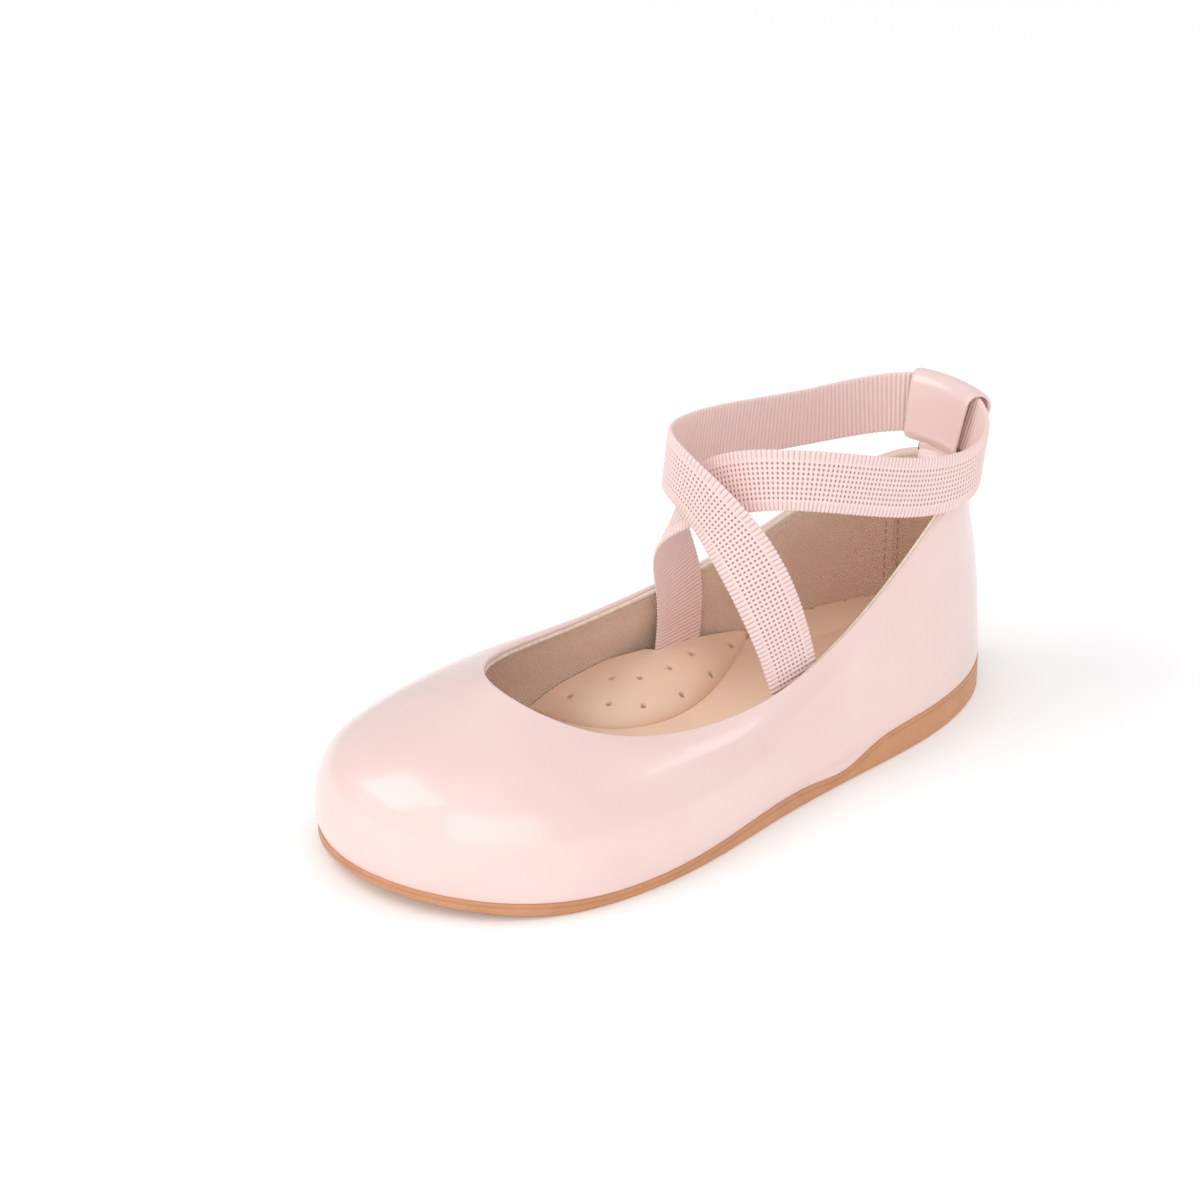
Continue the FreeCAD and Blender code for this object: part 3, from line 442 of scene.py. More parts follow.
def plain_material(name, low, high, roughness, metallic=0.0, scale=400.0):
    material, tree, shader = new_material(name)
    grain = noise(tree, scale, 4.0)
    tint(tree, shader, grain, "Fac", low, high)
    shader.inputs["Roughness"].default_value = roughness
    shader.inputs["Metallic"].default_value = metallic
    bump(tree, shader, grain, "Fac", 0.2, 0.0002)
    return material


patent = patent_material()
lining_cloth = twill_material("lining_twill", (0.72, 0.5, 0.38), (1.0, 0.84, 0.7), 48)
heel_cloth = twill_material("heel_twill", (0.6, 0.41, 0.3), (0.96, 0.73, 0.59), -40)
cream = cloth_material("cream_binding", (0.72, 0.6, 0.47), (0.86, 0.76, 0.63))
sock = sock_material()
rubber = rubber_material()
elastic = elastic_material()
thread = thread_material("thread_cream", (0.6, 0.47, 0.38), (0.8, 0.69, 0.6))
seam_thread = thread_material("thread_taupe", (0.36, 0.23, 0.17), (0.55, 0.39, 0.3))

# ------------------------------------------------------------------ upper and linings
COLUMNS = 448
ROUND = np.arange(COLUMNS) * STATIONS / COLUMNS
wall = Wall(ROUND)


def ring_piece(name, rows, material):
    """A closed tube-like piece that goes all the way round, from rows of points."""
    points = np.stack(rows, axis=1)
    quads = grid_quads(points.shape[0], points.shape[1], wrap_rows=True, wrap_cols=True)
    return make(name, points, quads, material)


def outline(offset):
    """The feather outline moved outward by offset, as plan points at the ring's stations."""
    feather = np.array(FEATHER, float)
    ring = POLES[2][:, :2]
    ahead = unit(np.roll(ring, -1, axis=0) - np.roll(ring, 1, axis=0))
    out = np.column_stack([-ahead[:, 1], ahead[:, 0]])
    out *= np.sign(np.sum(out * feather, axis=1))[:, None]
    slimmer = 1 - 0.4 * np.clip((feather[:, 1:] - 55) / 30, 0, 1)
    return round_weights(ROUND, STATIONS) @ (feather + out * offset * slimmer)


LIP_RISE = 0.4
WALL_TURN = 3.4


def wall_down_to_lip(count):
    """Rows of the outer face from the sole's lip up to where the last's own wall takes over."""
    v = np.tile(np.linspace(WALL_BOTTOM, 3.0, 600), (COLUMNS, 1))
    face = on_poles(POLES, ROUND, v)
    first = np.argmax(face[..., 2] > lip_height(face[..., 1]) + WALL_TURN, axis=1)
    each = np.arange(COLUMNS)
    start = face[each, first]
    down = unit(face[each, np.maximum(first - 6, 0)] - start)
    ring = outline(1.0)
    foot = np.column_stack([ring, lip_height(ring[:, 1]) + LIP_RISE - 0.1])
    above = np.column_stack([outline(1.25), foot[:, 2] + 1.0])
    near = start + down * 1.2
    bends = []
    for t in np.linspace(1, 0, count):
        bends.append(start * (1 - t) ** 3 + near * 3 * t * (1 - t) ** 2
                     + above * 3 * t ** 2 * (1 - t) + foot * t ** 3)
    return bends, v[0, first]


EDGE_RADIUS = 0.62
turned_in, wall_foot = wall_down_to_lip(12)
sunk = outline(0.4)
under = outline(-3.0)
rows = [np.column_stack([under, floor_height(under[:, 1]) + 0.15]),
        np.column_stack([sunk, lip_height(sunk[:, 1]) + LIP_RISE - 0.5])] + turned_in
rows += [wall.between(3.0, wall_foot, share, 0.0) for share in np.linspace(1, 0, 60)[1:]]
rows += [wall.point(d, 0.0) for d in (2.3, 1.7, 1.2, 0.85)]
edge = wall.point(EDGE_RADIUS, 0.0)
edge_in = unit(wall.point(EDGE_RADIUS, 1.0) - edge)
edge_up = unit(wall.point(0.1, 0.0) - edge)
for angle in np.linspace(0, math.pi, 13):
    rows.append(edge + edge_in * EDGE_RADIUS * (1 - math.cos(angle))
                + edge_up * EDGE_RADIUS * math.sin(angle))
rows += [wall.point(d, 2 * EDGE_RADIUS) for d in (0.9, 1.3, 2.0)]
rows += [wall.between(3.0, 0.9, share, UPPER) for share in np.linspace(0, 1, 20)]
settle(ring_piece("patent_upper", rows, patent), "shoe", ["upper"])

# Cream binding strip inside the topline: a thin tape with rounded edges.
binding = [(1.0, 1.2), (0.35, 1.16), (0.1, 1.24), (0.0, 1.42), (0.0, 1.75), (0.12, 1.98),
           (0.4, 2.1), (0.9, 2.12), (1.8, 2.06), (2.9, 1.95), (3.4, 1.8), (3.4, 1.5), (3.0, 1.3)]
settle(ring_piece("cream_topline_binding", [wall.point(d, z) for d, z in binding], cream),
       "shoe", ["topline_binding"])


def lining_piece(name, u0, u1, columns, extra, material, nodes):
    """Lining panel between two stations, its top edge tucked to the binding."""
    side = Wall(np.linspace(u0, u1, columns))
    rows = [side.between(9.0, 1.5, share, 2.05 + extra) for share in np.linspace(1, 0, 14)]
    rows += [side.point(d, 1.9 + extra) for d in (6.0, 4.0, 2.9)]
    rows += [side.point(2.62, 1.95 + extra), side.point(2.55, 2.1 + extra)]
    rows += [side.point(d, z + extra) for d, z in ((2.7, 2.28), (3.2, 2.42), (4.2, 2.62),
                                                   (6.0, 2.8), (8.0, LINING_FACE))]
    rows += [side.between(9.0, 1.5, share, LINING_FACE + extra) for share in np.linspace(0, 1, 56)]
    points = np.stack(rows, axis=1)
    quads = grid_quads(points.shape[0], points.shape[1], wrap_cols=True).tolist()
    width = points.shape[1]
    quads.append(list(range(width))[::-1])
    quads.append([(columns - 1) * width + k for k in range(width)])
    return settle(make(name, points, quads, material), "shoe", nodes)


lining_piece("twill_lining", SEAM_STATION - 0.03, STATIONS - SEAM_STATION + 0.03, 400, 0.0,
             lining_cloth, ["vamp_lining"])
lining_piece("twill_heel_lining", -SEAM_STATION, SEAM_STATION, 60, 0.42, heel_cloth,
             ["heel_lining"])


# ------------------------------------------------------------------ stitches
def capsule(start, end, radius, sides=6, rings=5):
    """One stitch: a thread that dips into the cloth at both ends."""
    start, end = np.asarray(start, float), np.asarray(end, float)
    axis = unit(end - start)
    side = unit(np.cross(axis, [0.31, 0.22, 0.92]))
    other = np.cross(axis, side)
    angles = np.arange(sides) * 2 * math.pi / sides
    points = []
    for share in np.linspace(0, 1, rings):
        fat = radius * math.sqrt(max(1 - (2 * share - 1) ** 4, 0.02))
        centre = start + (end - start) * share
        points += [centre + (side * math.cos(a) + other * math.sin(a)) * fat for a in angles]
    faces = grid_quads(rings, sides, wrap_cols=True).tolist()
    faces.append(list(range(sides)))
    faces.append([(rings - 1) * sides + k for k in range(sides)][::-1])
    return points, faces


def stitches(name, runs, length, radius, material, nodes):
    """Stitches along lists of points that are already a pitch apart."""
    points, faces = [], []
    for places, lift in runs:
        for here, ahead in zip(places[:-1], places[1:]):
            along = unit(ahead - here)
            one, quads = capsule(here + lift, here + along * length + lift, radius)
            faces += [[k + len(points) for k in face] for face in quads]
            points += one
    return settle(make(name, points, faces, material), "shoe", nodes)


def spaced(points, pitch):
    """Points a pitch apart along a polyline."""
    steps = np.linalg.norm(np.diff(points, axis=0), axis=1)
    total = np.concatenate([[0], np.cumsum(steps)])
    marks = np.arange(0, total[-1], pitch)
    return np.stack([np.interp(marks, total, points[:, k]) for k in range(3)], axis=1)


loop_line = Wall(np.linspace(0, STATIONS, 1400))
stitches("topline_stitches", [(spaced(loop_line.point(0.95, 2.12), 2.1), 0.0)], 1.3, 0.2,
         thread, ["topline_stitching"])
seam_runs = []
for station, deep in ((-SEAM_STATION + 0.06, 3.4), (SEAM_STATION - 0.06, 3.4),
                      (-SEAM_STATION - 0.1, 2.98), (SEAM_STATION + 0.1, 2.98)):
    column = Wall([station])
    line = np.array([column.between(4.5, 2.1, s, deep)[0] for s in np.linspace(0, 1, 80)])
    seam_runs.append((spaced(line, 2.4), 0.0))
stitches("lining_seam_stitches", seam_runs, 1.6, 0.14, seam_thread, ["lining_seam_stitching"])


# ------------------------------------------------------------------ outsole
def drawn_in(ring, share):
    """A plan ring drawn towards the shoe's long centre line."""
    y = ring[:, 1]
    centre_x = np.interp(y, [-95, -60, 0, 30, 90], [-1, 0, -0.5, 1.5, 2])
    centre = np.column_stack([centre_x, np.clip(y, -62, 62)])
    return centre + (ring - centre) * share


CORE = 0.02
sole_rows = []
for offset in (-6.0, -0.6):
    ring = outline(offset)
    sole_rows.append(np.column_stack([ring, floor_height(ring[:, 1]) - 0.3]))
for offset, lift in ((0.3, -0.3), (0.8, 0.3), (1.02, LIP_RISE), (1.24, 0.36), (1.37, 0.22),
                     (1.42, -0.05), (1.4, -0.56), (1.2, -0.68), (1.14, -0.82), (1.3, -0.98),
                     (1.4, -1.2)):
    ring = outline(offset)
    ground = np.maximum(spring_height(ring[:, 1]), 0.0)
    z = np.maximum(lip_height(ring[:, 1]) + lift, ground + 0.6 + 0.2 * lift)
    sole_rows.append(np.column_stack([ring, z]))
for offset, rise in ((1.34, 0.75), (1.2, 0.42), (0.95, 0.18), (0.6, 0.04), (0.2, 0.0)):
    ring = outline(offset)
    sole_rows.append(np.column_stack([ring, np.maximum(spring_height(ring[:, 1]), 0.0) + rise]))
rim = outline(0.2)
for share in np.linspace(0.97, CORE, 26):
    ring = drawn_in(rim, share)
    sole_rows.append(np.column_stack([ring, np.maximum(spring_height(ring[:, 1]), 0.0)]))
top_rings = []
inner_rim = outline(-6.0)
for share in np.linspace(CORE, 0.92, 12):
    ring = drawn_in(inner_rim, share)
    top_rings.append(np.column_stack([ring, floor_height(ring[:, 1]) - 0.3]))
points = np.stack(top_rings + sole_rows, axis=1)
quads = grid_quads(points.shape[0], points.shape[1], wrap_rows=True).tolist()
width = points.shape[1]
quads.append([k * width for k in range(COLUMNS)])
quads.append([k * width + width - 1 for k in range(COLUMNS)][::-1])
sole = make("rubber_outsole", points, quads, rubber)

GROOVE_HALF_LENGTH = 20.0
GROOVE_WIDTH = 1.6
GROOVE_DEPTH = 0.8
GROOVE_PITCH = 5.0
GROOVE_STARTS = ((-58.0, 9), (46.0, 5))


def groove_tool():
    """Bars that cut the tread's cross grooves into the sole."""
    corners, sides = [], []
    for start, count in GROOVE_STARTS:
        for k in range(count):
            y0 = start + k * GROOVE_PITCH
            y1 = y0 + GROOVE_WIDTH
            base = len(corners)
            for z in (-3.0, GROOVE_DEPTH):
                corners += [(-GROOVE_HALF_LENGTH, y0, z), (GROOVE_HALF_LENGTH, y0, z),
                            (GROOVE_HALF_LENGTH, y1, z), (-GROOVE_HALF_LENGTH, y1, z)]
            for face in ((3, 2, 1, 0), (4, 5, 6, 7), (0, 1, 5, 4), (1, 2, 6, 5), (2, 3, 7, 6),
                         (3, 0, 4, 7)):
                sides.append([base + corner for corner in face])
    return make("groove_tool", corners, sides, rubber, smooth=False)


def closed(obj):
    work = bmesh.new()
    work.from_mesh(obj.data)
    bmesh.ops.remove_doubles(work, verts=work.verts, dist=1e-7)
    bmesh.ops.recalc_face_normals(work, faces=work.faces)
    work.to_mesh(obj.data)
    work.free()


tool = groove_tool()
closed(sole)
cut = sole.modifiers.new("tread", "BOOLEAN")
cut.operation = "DIFFERENCE"
cut.solver = "EXACT"
cut.object = tool
bpy.context.view_layer.update()
grooved = bpy.data.meshes.new_from_object(
    sole.evaluated_get(bpy.context.evaluated_depsgraph_get()))
sole.modifiers.clear()
sole.data = grooved
bpy.data.objects.remove(tool)
settle(sole, "shoe", ["outsole"])


# ------------------------------------------------------------------ sock and pads
def lining_contour(lift, gap, count=COLUMNS):
    """Where the lining's inner face stands at a height above the floor, less a gap."""
    u = np.arange(count) * STATIONS / count
    v = np.tile(np.linspace(0.9, 3.6, 400), (count, 1))
    face = skin(u, v, LINING_FACE)
    target = floor_height(face[..., 1]) + lift
    above = face[..., 2] > target
    first = np.argmax(above, axis=1)
    places = face[np.arange(count), first][:, :2]
    ahead = unit(np.roll(places, -3, axis=0) - np.roll(places, 3, axis=0))
    out = np.column_stack([-ahead[:, 1], ahead[:, 0]])
    out *= np.sign(np.sum(out * places, axis=1))[:, None]
    return places - out * gap


edge_ring = lining_contour(4.9, 0.15)
sock_rows = []
for share in np.linspace(0, 0.9, 10):
    ring = drawn_in(edge_ring, share)
    sock_rows.append(np.column_stack([ring, floor_height(ring[:, 1]) + BED_UNDERSIDE]))
for share, lift in ((0.96, 4.5), (0.992, 4.6), (1.0, 4.85), (1.0, 5.1), (0.995, 5.3), (0.985, 5.42),
                    (0.97, 5.48), (0.95, 5.5)):
    ring = drawn_in(edge_ring, share)
    sock_rows.append(np.column_stack([ring, floor_height(ring[:, 1]) + lift]))
for share in np.linspace(0.92, 0.0, 30):
    ring = drawn_in(edge_ring, share)
    wave = 0.06 * np.sin(ring[:, 0] * 0.21) * np.sin(ring[:, 1] * 0.13)
    sock_rows.append(np.column_stack([ring, floor_height(ring[:, 1]) + BED_TOP + wave]))
points = np.stack(sock_rows, axis=1)
cover = make("sock_cover_cream", points, grid_quads(points.shape[0], points.shape[1],
                                                    wrap_rows=True), sock)
settle(cover, "shoe", ["sock_cover"])


def pad_points(net, along, across):
    """Points of a moulded pad's top and of its root on the cover."""
    poles = np.array([[(x, y, floor_height(y) + BED_TOP + 0.05 + h) for x, y, h in row]
                      for row in net])
    t = np.linspace(0, len(net) - 3, along)
    w = np.linspace(0, 1, across) ** 1.4
    bernstein = np.stack([(1 - w) ** 3, 3 * w * (1 - w) ** 2, 3 * w ** 2 * (1 - w), w ** 3], axis=-1)
    top = np.einsum("tn,nkc,wk->twc", clamped_weights(t, len(net)), poles, bernstein)
    root = top.copy()
    root[..., 2] = floor_height(root[..., 1]) + BED_TOP - PAD_ROOT_SINK
    return top, root


def clear_of_lining(points, gap):
    """Plan points pulled in to stay a gap inside the lining at their own height."""
    u = np.arange(COLUMNS) * STATIONS / COLUMNS
    v = np.tile(np.linspace(0.9, 4.0, 240), (COLUMNS, 1))
    face = skin(u, v, LINING_FACE).reshape(-1, 3)
    tree = KDTree(len(face))
    for k, place in enumerate(face):
        tree.insert(place.tolist(), k)
    tree.balance()
    normals = unit(skin(u, v, LINING_FACE + 1.0) - skin(u, v, LINING_FACE)).reshape(-1, 3)
    moved = points.reshape(-1, 3).copy()
    for k, place in enumerate(moved):
        _, index, _ = tree.find(place.tolist())
        inward = normals[index]
        room = float(np.dot(place - face[index], inward))
        if room < gap:
            flat = unit(np.array([inward[0], inward[1], 0.0]))
            moved[k] = place + flat * (gap - room)
    return moved.reshape(points.shape)


PERFORATIONS = [(-27.6, -9.8), (-24.4, 0.5), (-19.7, 5.4), (-18.2, 13.6), (-20.0, 22.1),
                (-20.5, 35.5), (-18.2, -5.7), (-12.5, 0.2), (-10.9, 11.0), (-13.9, 23.0)]


HOLE_RADIUS, HOLE_DEPTH = 0.52, 2.4
DIMPLE_RADIUS, DIMPLE_DEPTH = 1.5, 0.3
LEG_NOTCH_X = -23.9
LEG_NOTCH_Y = 22.0
LEG_NOTCH_HALF = 9.2
LEG_NOTCH_FADE = 1.6


def notch_for_leg(top):
    """The pad's rim pressed in where the strap's inner leg goes down behind it."""
    room = LEG_NOTCH_HALF - np.abs(top[..., 1] - LEG_NOTCH_Y)
    beside = np.clip(room / LEG_NOTCH_FADE, 0, 1)
    notched = np.maximum(top[..., 0], LEG_NOTCH_X)
    top[..., 0] += (notched - top[..., 0]) * beside


def moulded(name, net, along, across, holes, node, gap):
    top, root = pad_points(net, along, across)
    top = clear_of_lining(top, gap)
    if holes:
        notch_for_leg(top)
    root[..., :2] = top[..., :2]
    root[..., 2] = floor_height(root[..., 1]) + BED_TOP - PAD_ROOT_SINK
    # Mask of painted shade inside the perforation holes, carried to the sock material.
    hole_shade = np.zeros(top.shape[:2])
    for x, y in holes:
        near = np.hypot(top[..., 0] - x, top[..., 1] - y)
        hole = np.exp(-(near / HOLE_RADIUS) ** 6)
        hole_shade = np.maximum(hole_shade, hole)
        top[..., 2] -= HOLE_DEPTH * hole + DIMPLE_DEPTH * np.exp(-(near / DIMPLE_RADIUS) ** 2)
    points = np.concatenate([root.reshape(-1, 3), top.reshape(-1, 3)])
    lower = grid_quads(along, across)
    upper = lower + along * across
    faces = lower.tolist() + upper.tolist()
    border = ([k for k in range(across)] + [r * across + across - 1 for r in range(1, along)]
              + [(along - 1) * across + k for k in range(across - 2, -1, -1)]
              + [r * across for r in range(along - 2, 0, -1)])
    for a, b in zip(border, border[1:] + border[:1]):
        faces.append([a, b, b + along * across, a + along * across])
    blank = make(name, points, faces, sock)
    # Attribute holding the painted hole shade; the name depth here does not mean geometry.
    depth = blank.data.attributes.new("hole_shade", "FLOAT", "POINT")
    depth.data.foreach_set("value", np.concatenate([0 * hole_shade, hole_shade]).astype(np.float32).ravel())
    pad = settle(blank, "shoe", [node])
    return pad


HEEL_NET = []
for inner, outer, rim_share in zip(HEEL_INNER, HEEL_OUTER, HEEL_RIM):
    HEEL_NET.append([(inner[0] + (outer[0] - inner[0]) * s, inner[1] + (outer[1] - inner[1]) * s,
                      HEEL_PAD_HEIGHT * h * rim_share)
                     for s, h in ((0.0, 0.03), (0.1, 0.55), (0.6, 0.9), (1.0, 1.0))])
moulded("arch_support_pad", ARCH_NET, 230, 110, PERFORATIONS, "arch_pad", 0.35)
moulded("heel_cup_cushion", HEEL_NET, 160, 40, [], "heel_cup_pad", 0.3)


# ------------------------------------------------------------------ elastic strap
STRAP_WIDTH = 14.5
STRAP_THICK = 1.2
RIB_PITCH = 1.12
ROW_PITCH = 1.18
SELVEDGE = 1.9
OUTER_RELIEF, INNER_RELIEF = 0.42, 0.3
EDGE_RIB = 0.12


def strap_frame(count):
    """Centre line, outward side and across direction along the strap."""
    table = np.array(STRAP, float)
    centre = table[:, :3]
    ahead = unit(np.roll(centre, -1, axis=0) - np.roll(centre, 1, axis=0))
    ahead[0] = unit(centre[1] - centre[0])
    ahead[-1] = unit(centre[-1] - centre[-2])
    turn, tip = np.radians(table[:, 3]), np.radians(table[:, 4])
    out = np.column_stack([np.cos(turn) * np.cos(tip), np.sin(turn) * np.cos(tip), np.sin(tip)])
    across = unit(np.cross(ahead, out))
    out = np.cross(across, ahead)
    dense = np.linspace(0, len(STRAP) - 3, 6000)
    weights = clamped_weights(dense, len(STRAP))
    line = weights @ centre
    steps = np.linalg.norm(np.diff(line, axis=0), axis=1)
    length = np.concatenate([[0], np.cumsum(steps)])
    marks = np.linspace(0, length[-1], count)
    t = np.interp(marks, length, dense)
    weights = clamped_weights(t, len(STRAP))
    side = weights @ across
    face = weights @ out
    return marks, weights @ centre, side, face


SAMPLES_PER_RIB = 6
strap_length = strap_frame(3)[0][-1]
rib_count = int(round(strap_length / RIB_PITCH))
along_count = rib_count * SAMPLES_PER_RIB + 1
marks, centre, side, face = strap_frame(along_count)
across_count = 75
w = np.linspace(-1, 1, across_count)
w = np.sign(w) * (1 - (1 - np.abs(w)) ** 1.15)


def knit(marks, across_mm, inner):
    """Height of the knit (0 to 1) and how much painted shade falls in its pits."""
    s = marks[:, None] / (strap_length / rib_count)
    t = across_mm[None, :]
    rib = 0.5 + 0.5 * np.cos(2 * math.pi * s)
    rib = rib ** 0.7
    middle = np.clip((0.5 * STRAP_WIDTH - SELVEDGE - np.abs(t)) / 0.5, 0, 1)
    if inner:
        bridge = 0.5 + 0.5 * np.cos(2 * math.pi * (t / (ROW_PITCH * 0.5)))
        height = np.maximum(rib, 0.25 * bridge * np.ones_like(s))
        # The inner face gets weaker pit shade: a painted lightening of that face for the light that
        # falls on it.
        pit_shade = (1 - rib) ** 1.6 * (0.56 - 0.26 * bridge)
        return height, pit_shade
    bridge = (0.5 + 0.5 * np.cos(2 * math.pi * t / ROW_PITCH)) ** 1.3 * middle
    height = 1 - (1 - rib) * (1 - 0.7 * bridge)
    knuckle = 0.12 * np.cos(2 * math.pi * t / ROW_PITCH) * middle * rib
    # Painted shade in the outer face's pits, and along the selvedges in the next line.
    pit_shade = (1 - rib) ** 1.2 * (1 - bridge) * middle * 1.15
    edge_pit_shade = (1 - rib) ** 2 * (1 - middle) * 0.62
    return height - knuckle, np.maximum(pit_shade, edge_pit_shade)


half_w, half_t = 0.5 * STRAP_WIDTH, 0.5 * STRAP_THICK
across_mm = w * half_w
edge_round = np.sqrt(np.clip(1 - np.clip((np.abs(across_mm) - (half_w - 0.9)) / 0.9, 0, 1) ** 2,
                             0.0, 1))
sheets, pit_shades = [], []
for inner in (False, True):
    height, pit_shade = knit(marks, across_mm, inner)
    relief = INNER_RELIEF if inner else OUTER_RELIEF
    lift = (half_t * edge_round)[None, :] - relief * (1 - height) * np.clip(edge_round, 0.35, 1)
    lift = np.maximum(lift, 0.04)
    sign = -1.0 if inner else 1.0
    sheets.append(centre[:, None] + side[:, None] * across_mm[None, :, None]
                  + face[:, None] * (sign * lift)[..., None])
    pit_shades.append(pit_shade)
ribbed_edge = EDGE_RIB * np.cos(2 * math.pi * marks / (strap_length / rib_count))
for sheet_points in sheets:
    for column, sign in ((0, -1.0), (-1, 1.0)):
        sheet_points[:, column] += side * (sign * ribbed_edge)[:, None]
ring_points = np.concatenate([sheets[0], sheets[1][:, ::-1]], axis=1)
ring_pit_shades = np.concatenate([pit_shades[0], pit_shades[1][:, ::-1]], axis=1)
ring_width = ring_points.shape[1]
faces = grid_quads(along_count, ring_width, wrap_cols=True).tolist()
faces.append(list(range(ring_width)))
faces.append([(along_count - 1) * ring_width + k for k in range(ring_width)][::-1])
strap = make("elastic_ankle_strap", ring_points, faces, elastic)
# This attribute carries the painted pit shade to the elastic material.
attribute = strap.data.attributes.new("pit_shade", "FLOAT", "POINT")
attribute.data.foreach_set("value", ring_pit_shades.astype(np.float32).ravel())
work = bmesh.new()
work.from_mesh(strap.data)
bmesh.ops.recalc_face_normals(work, faces=work.faces)
work.to_mesh(strap.data)
work.free()
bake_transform(strap)
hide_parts("elastic_leg_lateral", "elastic_band", "elastic_leg_medial",
            "lateral_tack_stitches", "medial_tack_stitches")

# ------------------------------------------------------------------ heel loop
LOOP_FOOT = (84.3, 60.5)
LOOP_HEAD = (87.5, 70.9)
LOOP_RADII = (1.9, 2.6)
LOOP_CURVE = 30.0
LOOP_CENTRE_Y = 86.0 - LOOP_CURVE
LOOP_HALF_ANGLE = math.asin(10.0 / LOOP_CURVE)


def slot_line(offset, count):
    """Closed rounded slot in the YZ plane, moved outward by offset."""
    (y0, z0), (y1, z1) = LOOP_FOOT, LOOP_HEAD
    r0, r1 = LOOP_RADII[0] + offset, LOOP_RADII[1] + offset
    reach, heading = math.hypot(y1 - y0, z1 - z0), math.atan2(z1 - z0, y1 - y0)
    spread = math.acos((r0 - r1) / reach)
    arc_head = [(y1 + r1 * math.cos(a), z1 + r1 * math.sin(a))
                for a in np.linspace(heading - spread, heading + spread, 24)]
    arc_foot = [(y0 + r0 * math.cos(a), z0 + r0 * math.sin(a))
                for a in np.linspace(heading + spread, heading + 2 * math.pi - spread, 24)]
    ring = np.array(arc_head + arc_foot + arc_head[:1])
    steps = np.linalg.norm(np.diff(ring, axis=0), axis=1)
    total = np.concatenate([[0], np.cumsum(steps)])
    marks = np.linspace(0, total[-1], count, endpoint=False)
    return np.column_stack([np.interp(marks, total, ring[:, 0]),
                            np.interp(marks, total, ring[:, 1])])


LOOP_THICK = 1.1
LOOP_SOFTENING = 0.28
loop_rows = []
turns = np.linspace(-1, 1, 41)
for offset, turn_list in ((LOOP_THICK, turns), (0.0, turns[::-1])):
    for turn in turn_list:
        soften = LOOP_SOFTENING * abs(turn) ** 14
        ring = slot_line(offset - soften if offset else soften, 120)
        angle = turn * LOOP_HALF_ANGLE
        radius = ring[:, 0] - LOOP_CENTRE_Y
        loop_rows.append(np.column_stack([radius * math.sin(angle),
                                          LOOP_CENTRE_Y + radius * math.cos(angle), ring[:, 1]]))
points = np.stack(loop_rows, axis=0)
loop = make("patent_heel_loop", points, grid_quads(points.shape[0], points.shape[1],
                                                   wrap_rows=True, wrap_cols=True), patent)
settle(loop, "ankle_band", ["heel_loop"])

# The tab's sewn end, from the loop's foot down inside the collar.
tongue_wall = Wall(np.linspace(-0.62, 0.62, 40))
tongue_rows = [tongue_wall.point(d, z) for d, z in
               ((9.0, 3.45), (6.0, 3.4), (3.0, 3.0), (1.5, 2.3), (0.4, 1.6))]
tongue_top = tongue_wall.point(0.0, 0.9)
for rise, deep in ((0.9, 0.5), (1.7, 0.3), (1.7, -0.9), (0.9, -0.7)):
    tongue_rows.append(tongue_top + np.array([0, 0, rise]) - np.array([0, deep, 0]))
tongue_rows += [tongue_wall.point(d, z) for d, z in
                ((0.0, 1.9), (0.6, 2.6), (1.6, 3.3), (3.0, 3.9), (6.0, 4.4), (8.6, 4.5),
                 (9.2, 4.3), (9.3, 3.8))]
points = np.stack(tongue_rows, axis=1)
quads = grid_quads(points.shape[0], points.shape[1], wrap_cols=True).tolist()
width = points.shape[1]
quads.append(list(range(width))[::-1])
quads.append([(points.shape[0] - 1) * width + k for k in range(width)])
tongue = make("patent_loop_tongue", points, quads, patent)
settle(tongue, "shoe", ["heel_loop_tongue"])
tongue_line = Wall(np.linspace(-0.5, 0.5, 60))
stitches("loop_tongue_stitches", [(spaced(tongue_line.point(8.0, 4.5), 2.2), 0.0),
                                  (spaced(tongue_line.point(5.0, 4.32), 2.2), 0.0)],
         1.5, 0.2, thread, ["heel_loop_stitching"])

# ------------------------------------------------------------------ hidden pieces keep their CAD shape
hidden = {
    "heel_counter": plain_material("counter_board", (0.62, 0.56, 0.46), (0.75, 0.7, 0.6), 0.7),
    "toe_puff": plain_material("puff_board", (0.62, 0.58, 0.5), (0.76, 0.72, 0.64), 0.7),
    "back_seam_tape": cream,
    "bottom_filler": plain_material("cork_filler", (0.3, 0.17, 0.09), (0.5, 0.32, 0.19), 0.9,
                                    scale=900.0),
    "insole_board": plain_material("fibre_board", (0.42, 0.3, 0.2), (0.55, 0.42, 0.3), 0.85),
    "sock_foam": plain_material("pale_foam", (0.78, 0.72, 0.55), (0.86, 0.81, 0.66), 0.95,
                                scale=1500.0),
    "shank": plain_material("shank_steel", (0.4, 0.4, 0.42), (0.55, 0.55, 0.57), 0.35, 1.0),
}
for node, material in hidden.items():
    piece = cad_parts[node]
    piece.data.materials.clear()
    piece.data.materials.append(material)

# ------------------------------------------------------------------ floor, light and camera
floor_material, floor_tree, floor_shader = new_material("pale_floor")
floor_cloud = noise(floor_tree, 3.0, 2.0)
tint(floor_tree, floor_shader, floor_cloud, "Fac", (0.93, 0.93, 0.93), (0.95, 0.95, 0.95))
floor_shader.inputs["Roughness"].default_value = 0.9
floor_shader.inputs["Emission Color"].default_value = (1.0, 1.0, 1.0, 1.0)
floor_shader.inputs["Emission Strength"].default_value = 0.1
floor_mesh = bpy.data.meshes.new("studio_floor")
FLOOR_SIZE = 6.0
floor_mesh.from_pydata([(-FLOOR_SIZE, -FLOOR_SIZE, 0), (FLOOR_SIZE, -FLOOR_SIZE, 0),
                        (FLOOR_SIZE, FLOOR_SIZE, 0), (-FLOOR_SIZE, FLOOR_SIZE, 0)], [],
                       [(0, 1, 2, 3)])
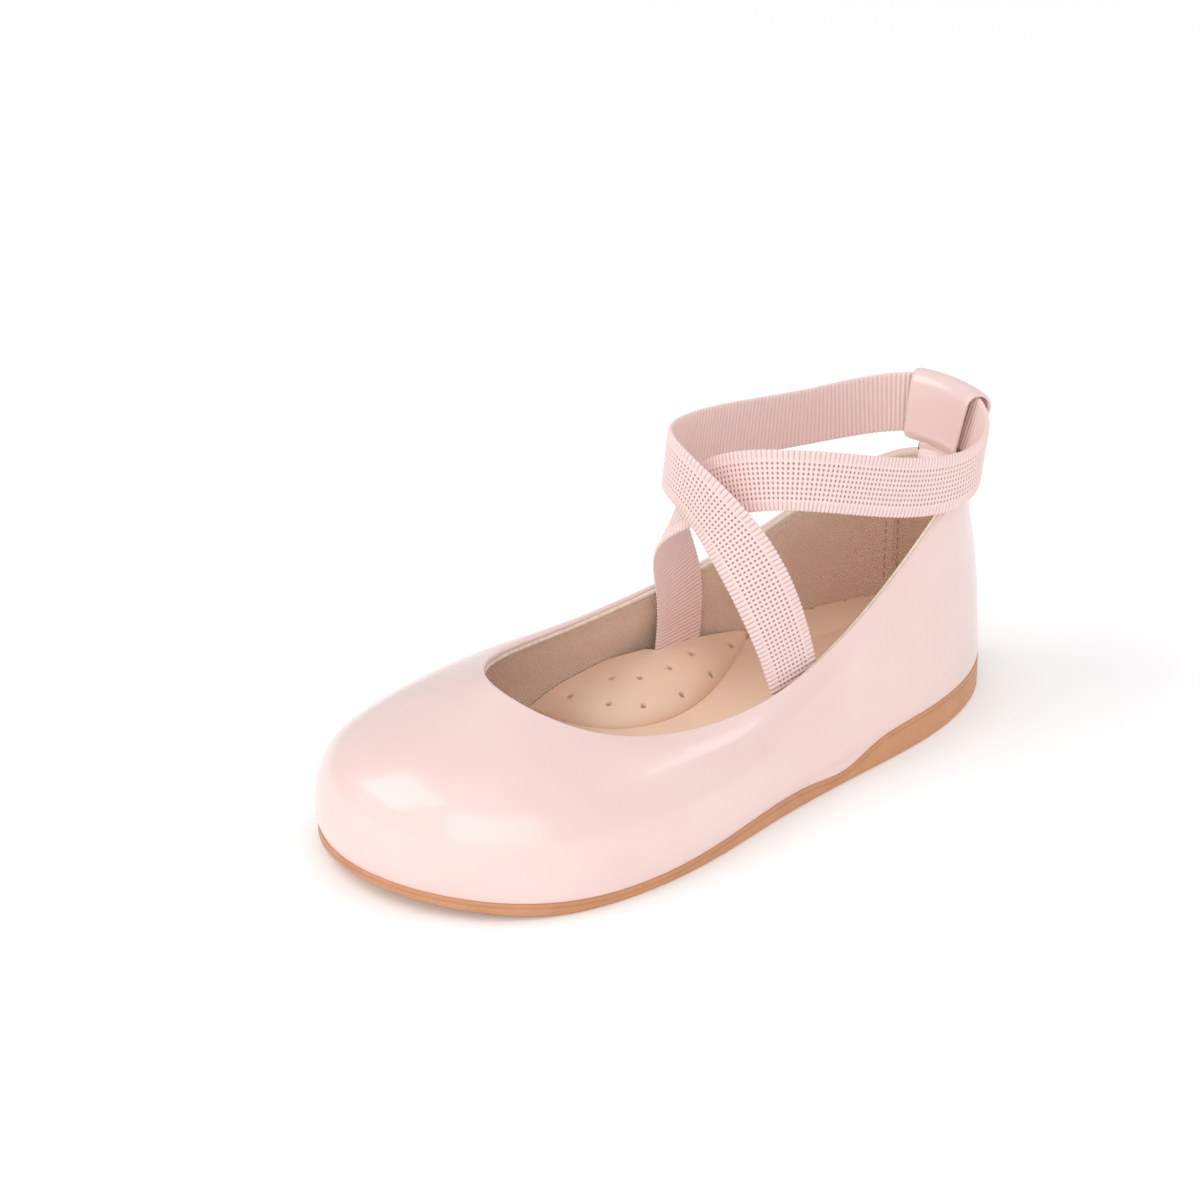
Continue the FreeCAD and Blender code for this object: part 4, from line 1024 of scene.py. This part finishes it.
studio_floor = bpy.data.objects.new("studio_floor", floor_mesh)
bpy.context.scene.collection.objects.link(studio_floor)
floor_mesh.materials.append(floor_material)

world = bpy.data.worlds.new("studio")
bpy.context.scene.world = world
world.use_nodes = True
world.node_tree.nodes["Background"].inputs["Color"].default_value = (1.0, 1.0, 1.0, 1)
world.node_tree.nodes["Background"].inputs["Strength"].default_value = 0.66


def area_light(name, place, target, width, height, power):
    data = bpy.data.lights.new(name, "AREA")
    data.shape = "RECTANGLE"
    data.size, data.size_y = width, height
    data.energy = power
    light = bpy.data.objects.new(name, data)
    light.location = place
    aim = Vector(target) - Vector(place)
    light.rotation_euler = aim.to_track_quat("-Z", "Y").to_euler()
    bpy.context.scene.collection.objects.link(light)


area_light("key_softbox", (-0.45, -0.75, 0.95), (0, 0, 0.03), 0.9, 0.9, 5.5)
area_light("front_softbox", (0.95, -0.8, 0.62), (0, 0, 0.03), 1.3, 1.3, 7.4)
area_light("back_softbox", (0.2, 1.1, 0.9), (0, 0, 0.03), 0.9, 0.5, 2.6)

AZIMUTH, ELEVATION = math.radians(49.0), math.radians(26.13)
CAMERA_DISTANCE = 1150.0
CAMERA_TARGET = np.array([-79.41, 44.80, 0.0])
FOCAL_PIXELS = 4554.0
FRAME_PIXELS = 1200.0
back = np.array([math.sin(AZIMUTH) * math.cos(ELEVATION), -math.cos(AZIMUTH) * math.cos(ELEVATION),
                 math.sin(ELEVATION)])
camera_data = bpy.data.cameras.new("camera")
camera_data.sensor_width = 36.0
camera_data.lens = FOCAL_PIXELS / FRAME_PIXELS * camera_data.sensor_width
camera_data.clip_start, camera_data.clip_end = 0.05, 20.0
camera = bpy.data.objects.new("camera", camera_data)
camera.location = Vector(((CAMERA_TARGET + back * CAMERA_DISTANCE + SHIFT) * MM).tolist())
camera.rotation_euler = Vector((-back).tolist()).to_track_quat("-Z", "Y").to_euler()
bpy.context.scene.collection.objects.link(camera)
bpy.context.scene.camera = camera
bpy.context.scene.view_settings.view_transform = "Standard"
